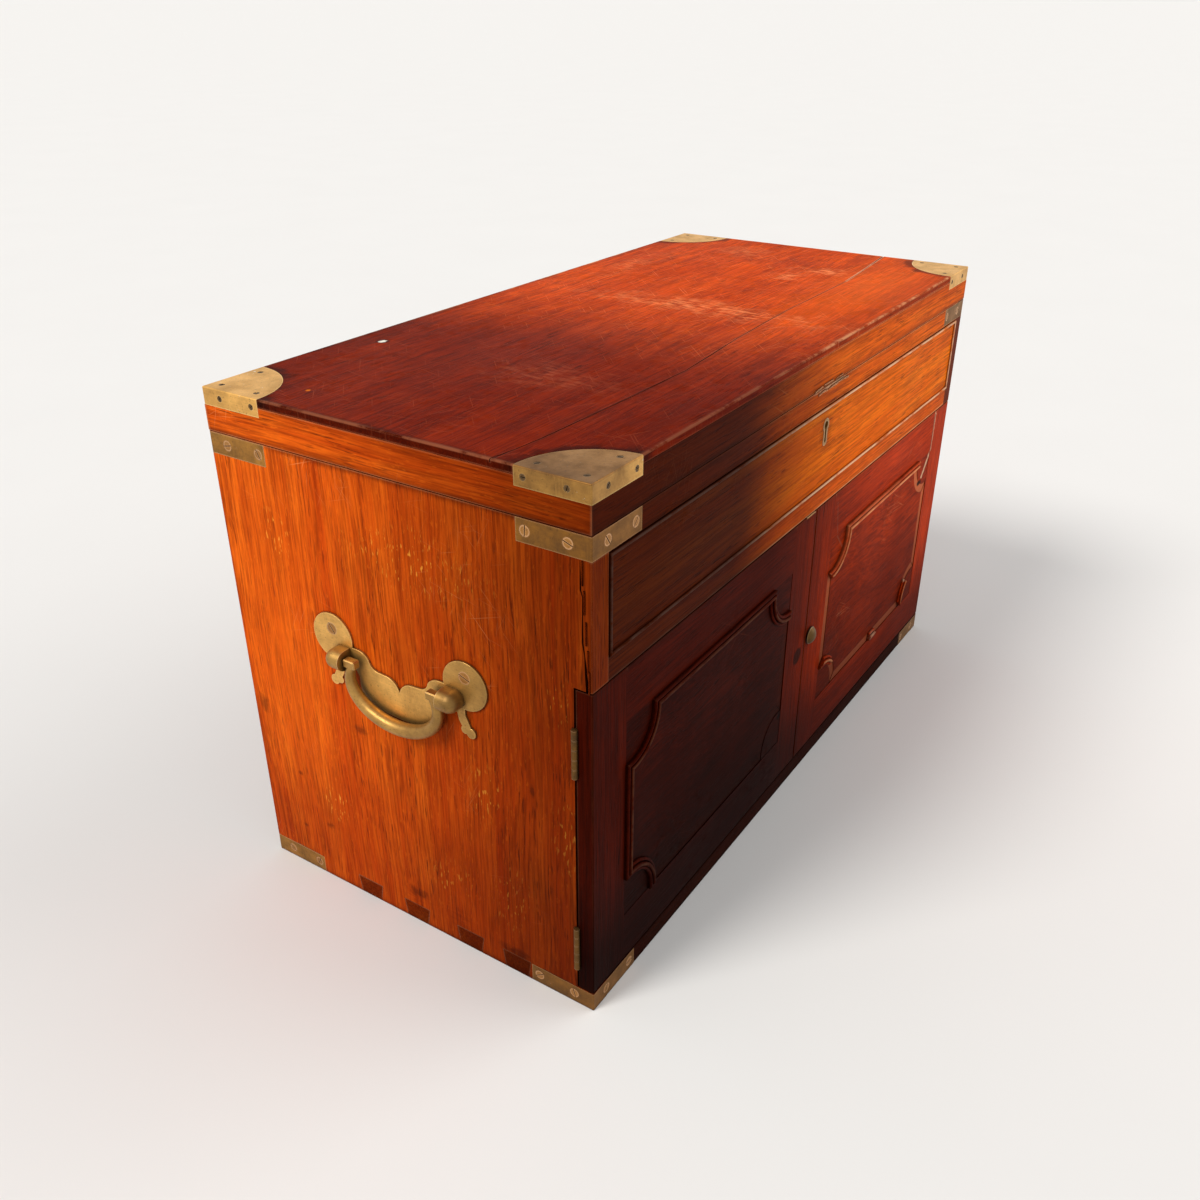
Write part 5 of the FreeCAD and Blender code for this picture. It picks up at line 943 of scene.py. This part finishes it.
class CHEST_OT_add_splinters(bpy.types.Operator):
    """Add the torn slivers along the lid's seam and beside the split end"""
    bl_idname = "chest.add_splinters"
    bl_label = "Add the splinters"

    def execute(self, context):
        c = palette()
        size = context.scene.chest_sizes.splinter
        torn = polished_wood("torn mahogany", "xzy", c.torn_wood, c.rail_light, "top_rail", 15.0, 60.0,
                             0.004, 0.1, 0.2, 0.0, 0.0, gloss=0.1)
        chance = random.Random(7)
        groups = {"case": [], "lid": [], "end": []}
        for count in range(SEAM_SLIVERS):
            body, side = ("lid", ON_LID) if count % 3 == 0 else ("case", ON_CASE)
            along = (SEAM_FIRST + SEAM_PITCH * count) / 1000.0 - END_X + chance.uniform(-0.003, 0.003)
            up = SEAM_Z + side + chance.uniform(-0.001, 0.001)
            length = size * chance.uniform(0.45, 1.0)
            groups[body].append(sliver(
                (along, FACE_Y - 0.0002, up), (length, 0.0016, 0.0018),
                (0.0, chance.uniform(-0.10, 0.10), chance.uniform(-0.05, 0.05)), count))
        for count, (up, tilt) in enumerate(END_SLIVERS):
            inset = 0.0045 + 0.0075 * (up - 0.3685) / 0.12      # follows the split's slant
            groups["end"].append(sliver(
                (-END_X - 0.0001, FACE_Y + inset - 0.0022, up), (size * 0.9, 0.0014, 0.0016),
                (tilt, math.pi / 2, 0.0), count + 20))
        joined_piece(groups["case"], "seam_splinters_case", torn, "case")
        joined_piece(groups["lid"], "seam_splinters_lid", torn, "lid")
        split = polished_wood("split mahogany", "zyx", scaled(c.end_light, 0.7), c.end_deep,
                              "end_panel_left", 16.0, 60.0, 0.004, 0.1, 0.2, 0.0, 0.0, gloss=0.1,
                              shades=END_PAINTED_SHADE)
        joined_piece(groups["end"], "end_splinters", split, "case")
        return {"FINISHED"}


class CHEST_OT_set_stage(bpy.types.Operator):
    """Lay the floor and set the lamps and the camera"""
    bl_idname = "chest.set_stage"
    bl_label = "Set the stage"

    def execute(self, context):
        c = palette()
        scene = context.scene
        bpy.ops.mesh.primitive_plane_add(size=400.0, location=(0.0, 0.0, -0.0005))
        floor = context.object
        floor.name = "studio_floor"
        material, sheet, place, shader = start_material("studio floor")
        tone = sheet.noise(place, 3.0, 4.0)
        sheet.feed(shader.inputs["Base Color"], sheet.blend(tone, c.floor, scaled(c.floor, 0.97)))
        shader.inputs["Roughness"].default_value = 0.85
        shader.inputs["Specular IOR Level"].default_value = 0.2
        floor.data.materials.append(material)
        scene.world = bpy.data.worlds.new("studio")
        scene.world.use_nodes = True
        scene.world.node_tree.nodes.clear()
        sheet = NodeSheet(scene.world.node_tree)
        room = sheet.add("ShaderNodeBackground", {"Color": (0.97, 0.98, 1.0), "Strength": ROOM_LIGHT})
        pale = sheet.add("ShaderNodeBackground", {"Color": (1.0, 0.985, 0.955), "Strength": SURROUND_LOOK})
        rays = sheet.add("ShaderNodeLightPath").outputs
        seen = sheet.math("MAXIMUM", rays["Is Camera Ray"], rays["Is Glossy Ray"])
        seen = sheet.math("MAXIMUM", seen, rays["Is Transmission Ray"])
        sky = sheet.add("ShaderNodeMixShader", {0: seen, 1: room.outputs[0], 2: pale.outputs[0]})
        sheet.add("ShaderNodeOutputWorld", {"Surface": sky.outputs[0]})
        for name, towards, strength, spread, tint in LAMPS:
            bpy.ops.object.light_add(type="SUN", location=Vector(towards) * 4.0)
            lamp = context.object
            lamp.name = "lamp_" + name
            lamp.data.energy = strength
            lamp.data.angle = math.radians(spread)
            lamp.data.color = tint
            lamp.rotation_euler = (-Vector(towards)).to_track_quat("-Z", "Y").to_euler()
        bpy.ops.object.camera_add(location=CAMERA_PLACE)
        camera = context.object
        camera.name = "studio_camera"
        camera.data.sensor_width = 36.0
        camera.data.lens = CAMERA_LENS
        camera.data.clip_start = 0.01
        camera.data.clip_end = 200.0
        camera.rotation_euler = Vector(CAMERA_AIM).to_track_quat("-Z", "Y").to_euler()
        scene.camera = camera
        scene.view_settings.view_transform = "Standard"
        return {"FINISHED"}


STEPS = (CHEST_OT_set_stage, CHEST_OT_finish_ends, CHEST_OT_finish_lid, CHEST_OT_finish_drawer,
         CHEST_OT_finish_doors, CHEST_OT_finish_brass, CHEST_OT_add_splinters)


class CHEST_PT_sidebar(bpy.types.Panel):
    """Lists the steps, sizes and colours"""
    bl_idname = "CHEST_PT_sidebar"
    bl_label = "Campaign chest"
    bl_space_type = "VIEW_3D"
    bl_region_type = "UI"
    bl_category = "Chest"

    def draw(self, context):
        for step in STEPS:
            self.layout.operator(step.bl_idname)
        for settings in (context.scene.chest_sizes, context.scene.chest_colours):
            box = self.layout.box()
            for name in settings.__annotations__:
                box.prop(settings, name)


CLASSES = (ChestColours, ChestSizes, *STEPS, CHEST_PT_sidebar)


def register():
    for kind in CLASSES:
        bpy.utils.register_class(kind)
    bpy.types.Scene.chest_colours = bpy.props.PointerProperty(type=ChestColours)
    bpy.types.Scene.chest_sizes = bpy.props.PointerProperty(type=ChestSizes)


def unregister():
    del bpy.types.Scene.chest_sizes
    del bpy.types.Scene.chest_colours
    for kind in reversed(CLASSES):
        bpy.utils.unregister_class(kind)


def main():
    register()
    bpy.ops.chest.set_stage()
    bpy.ops.chest.finish_ends()
    bpy.ops.chest.finish_lid()
    bpy.ops.chest.finish_drawer()
    bpy.ops.chest.finish_doors()
    bpy.ops.chest.finish_brass()
    bpy.ops.chest.add_splinters()


if __name__ == "__main__":
    main()
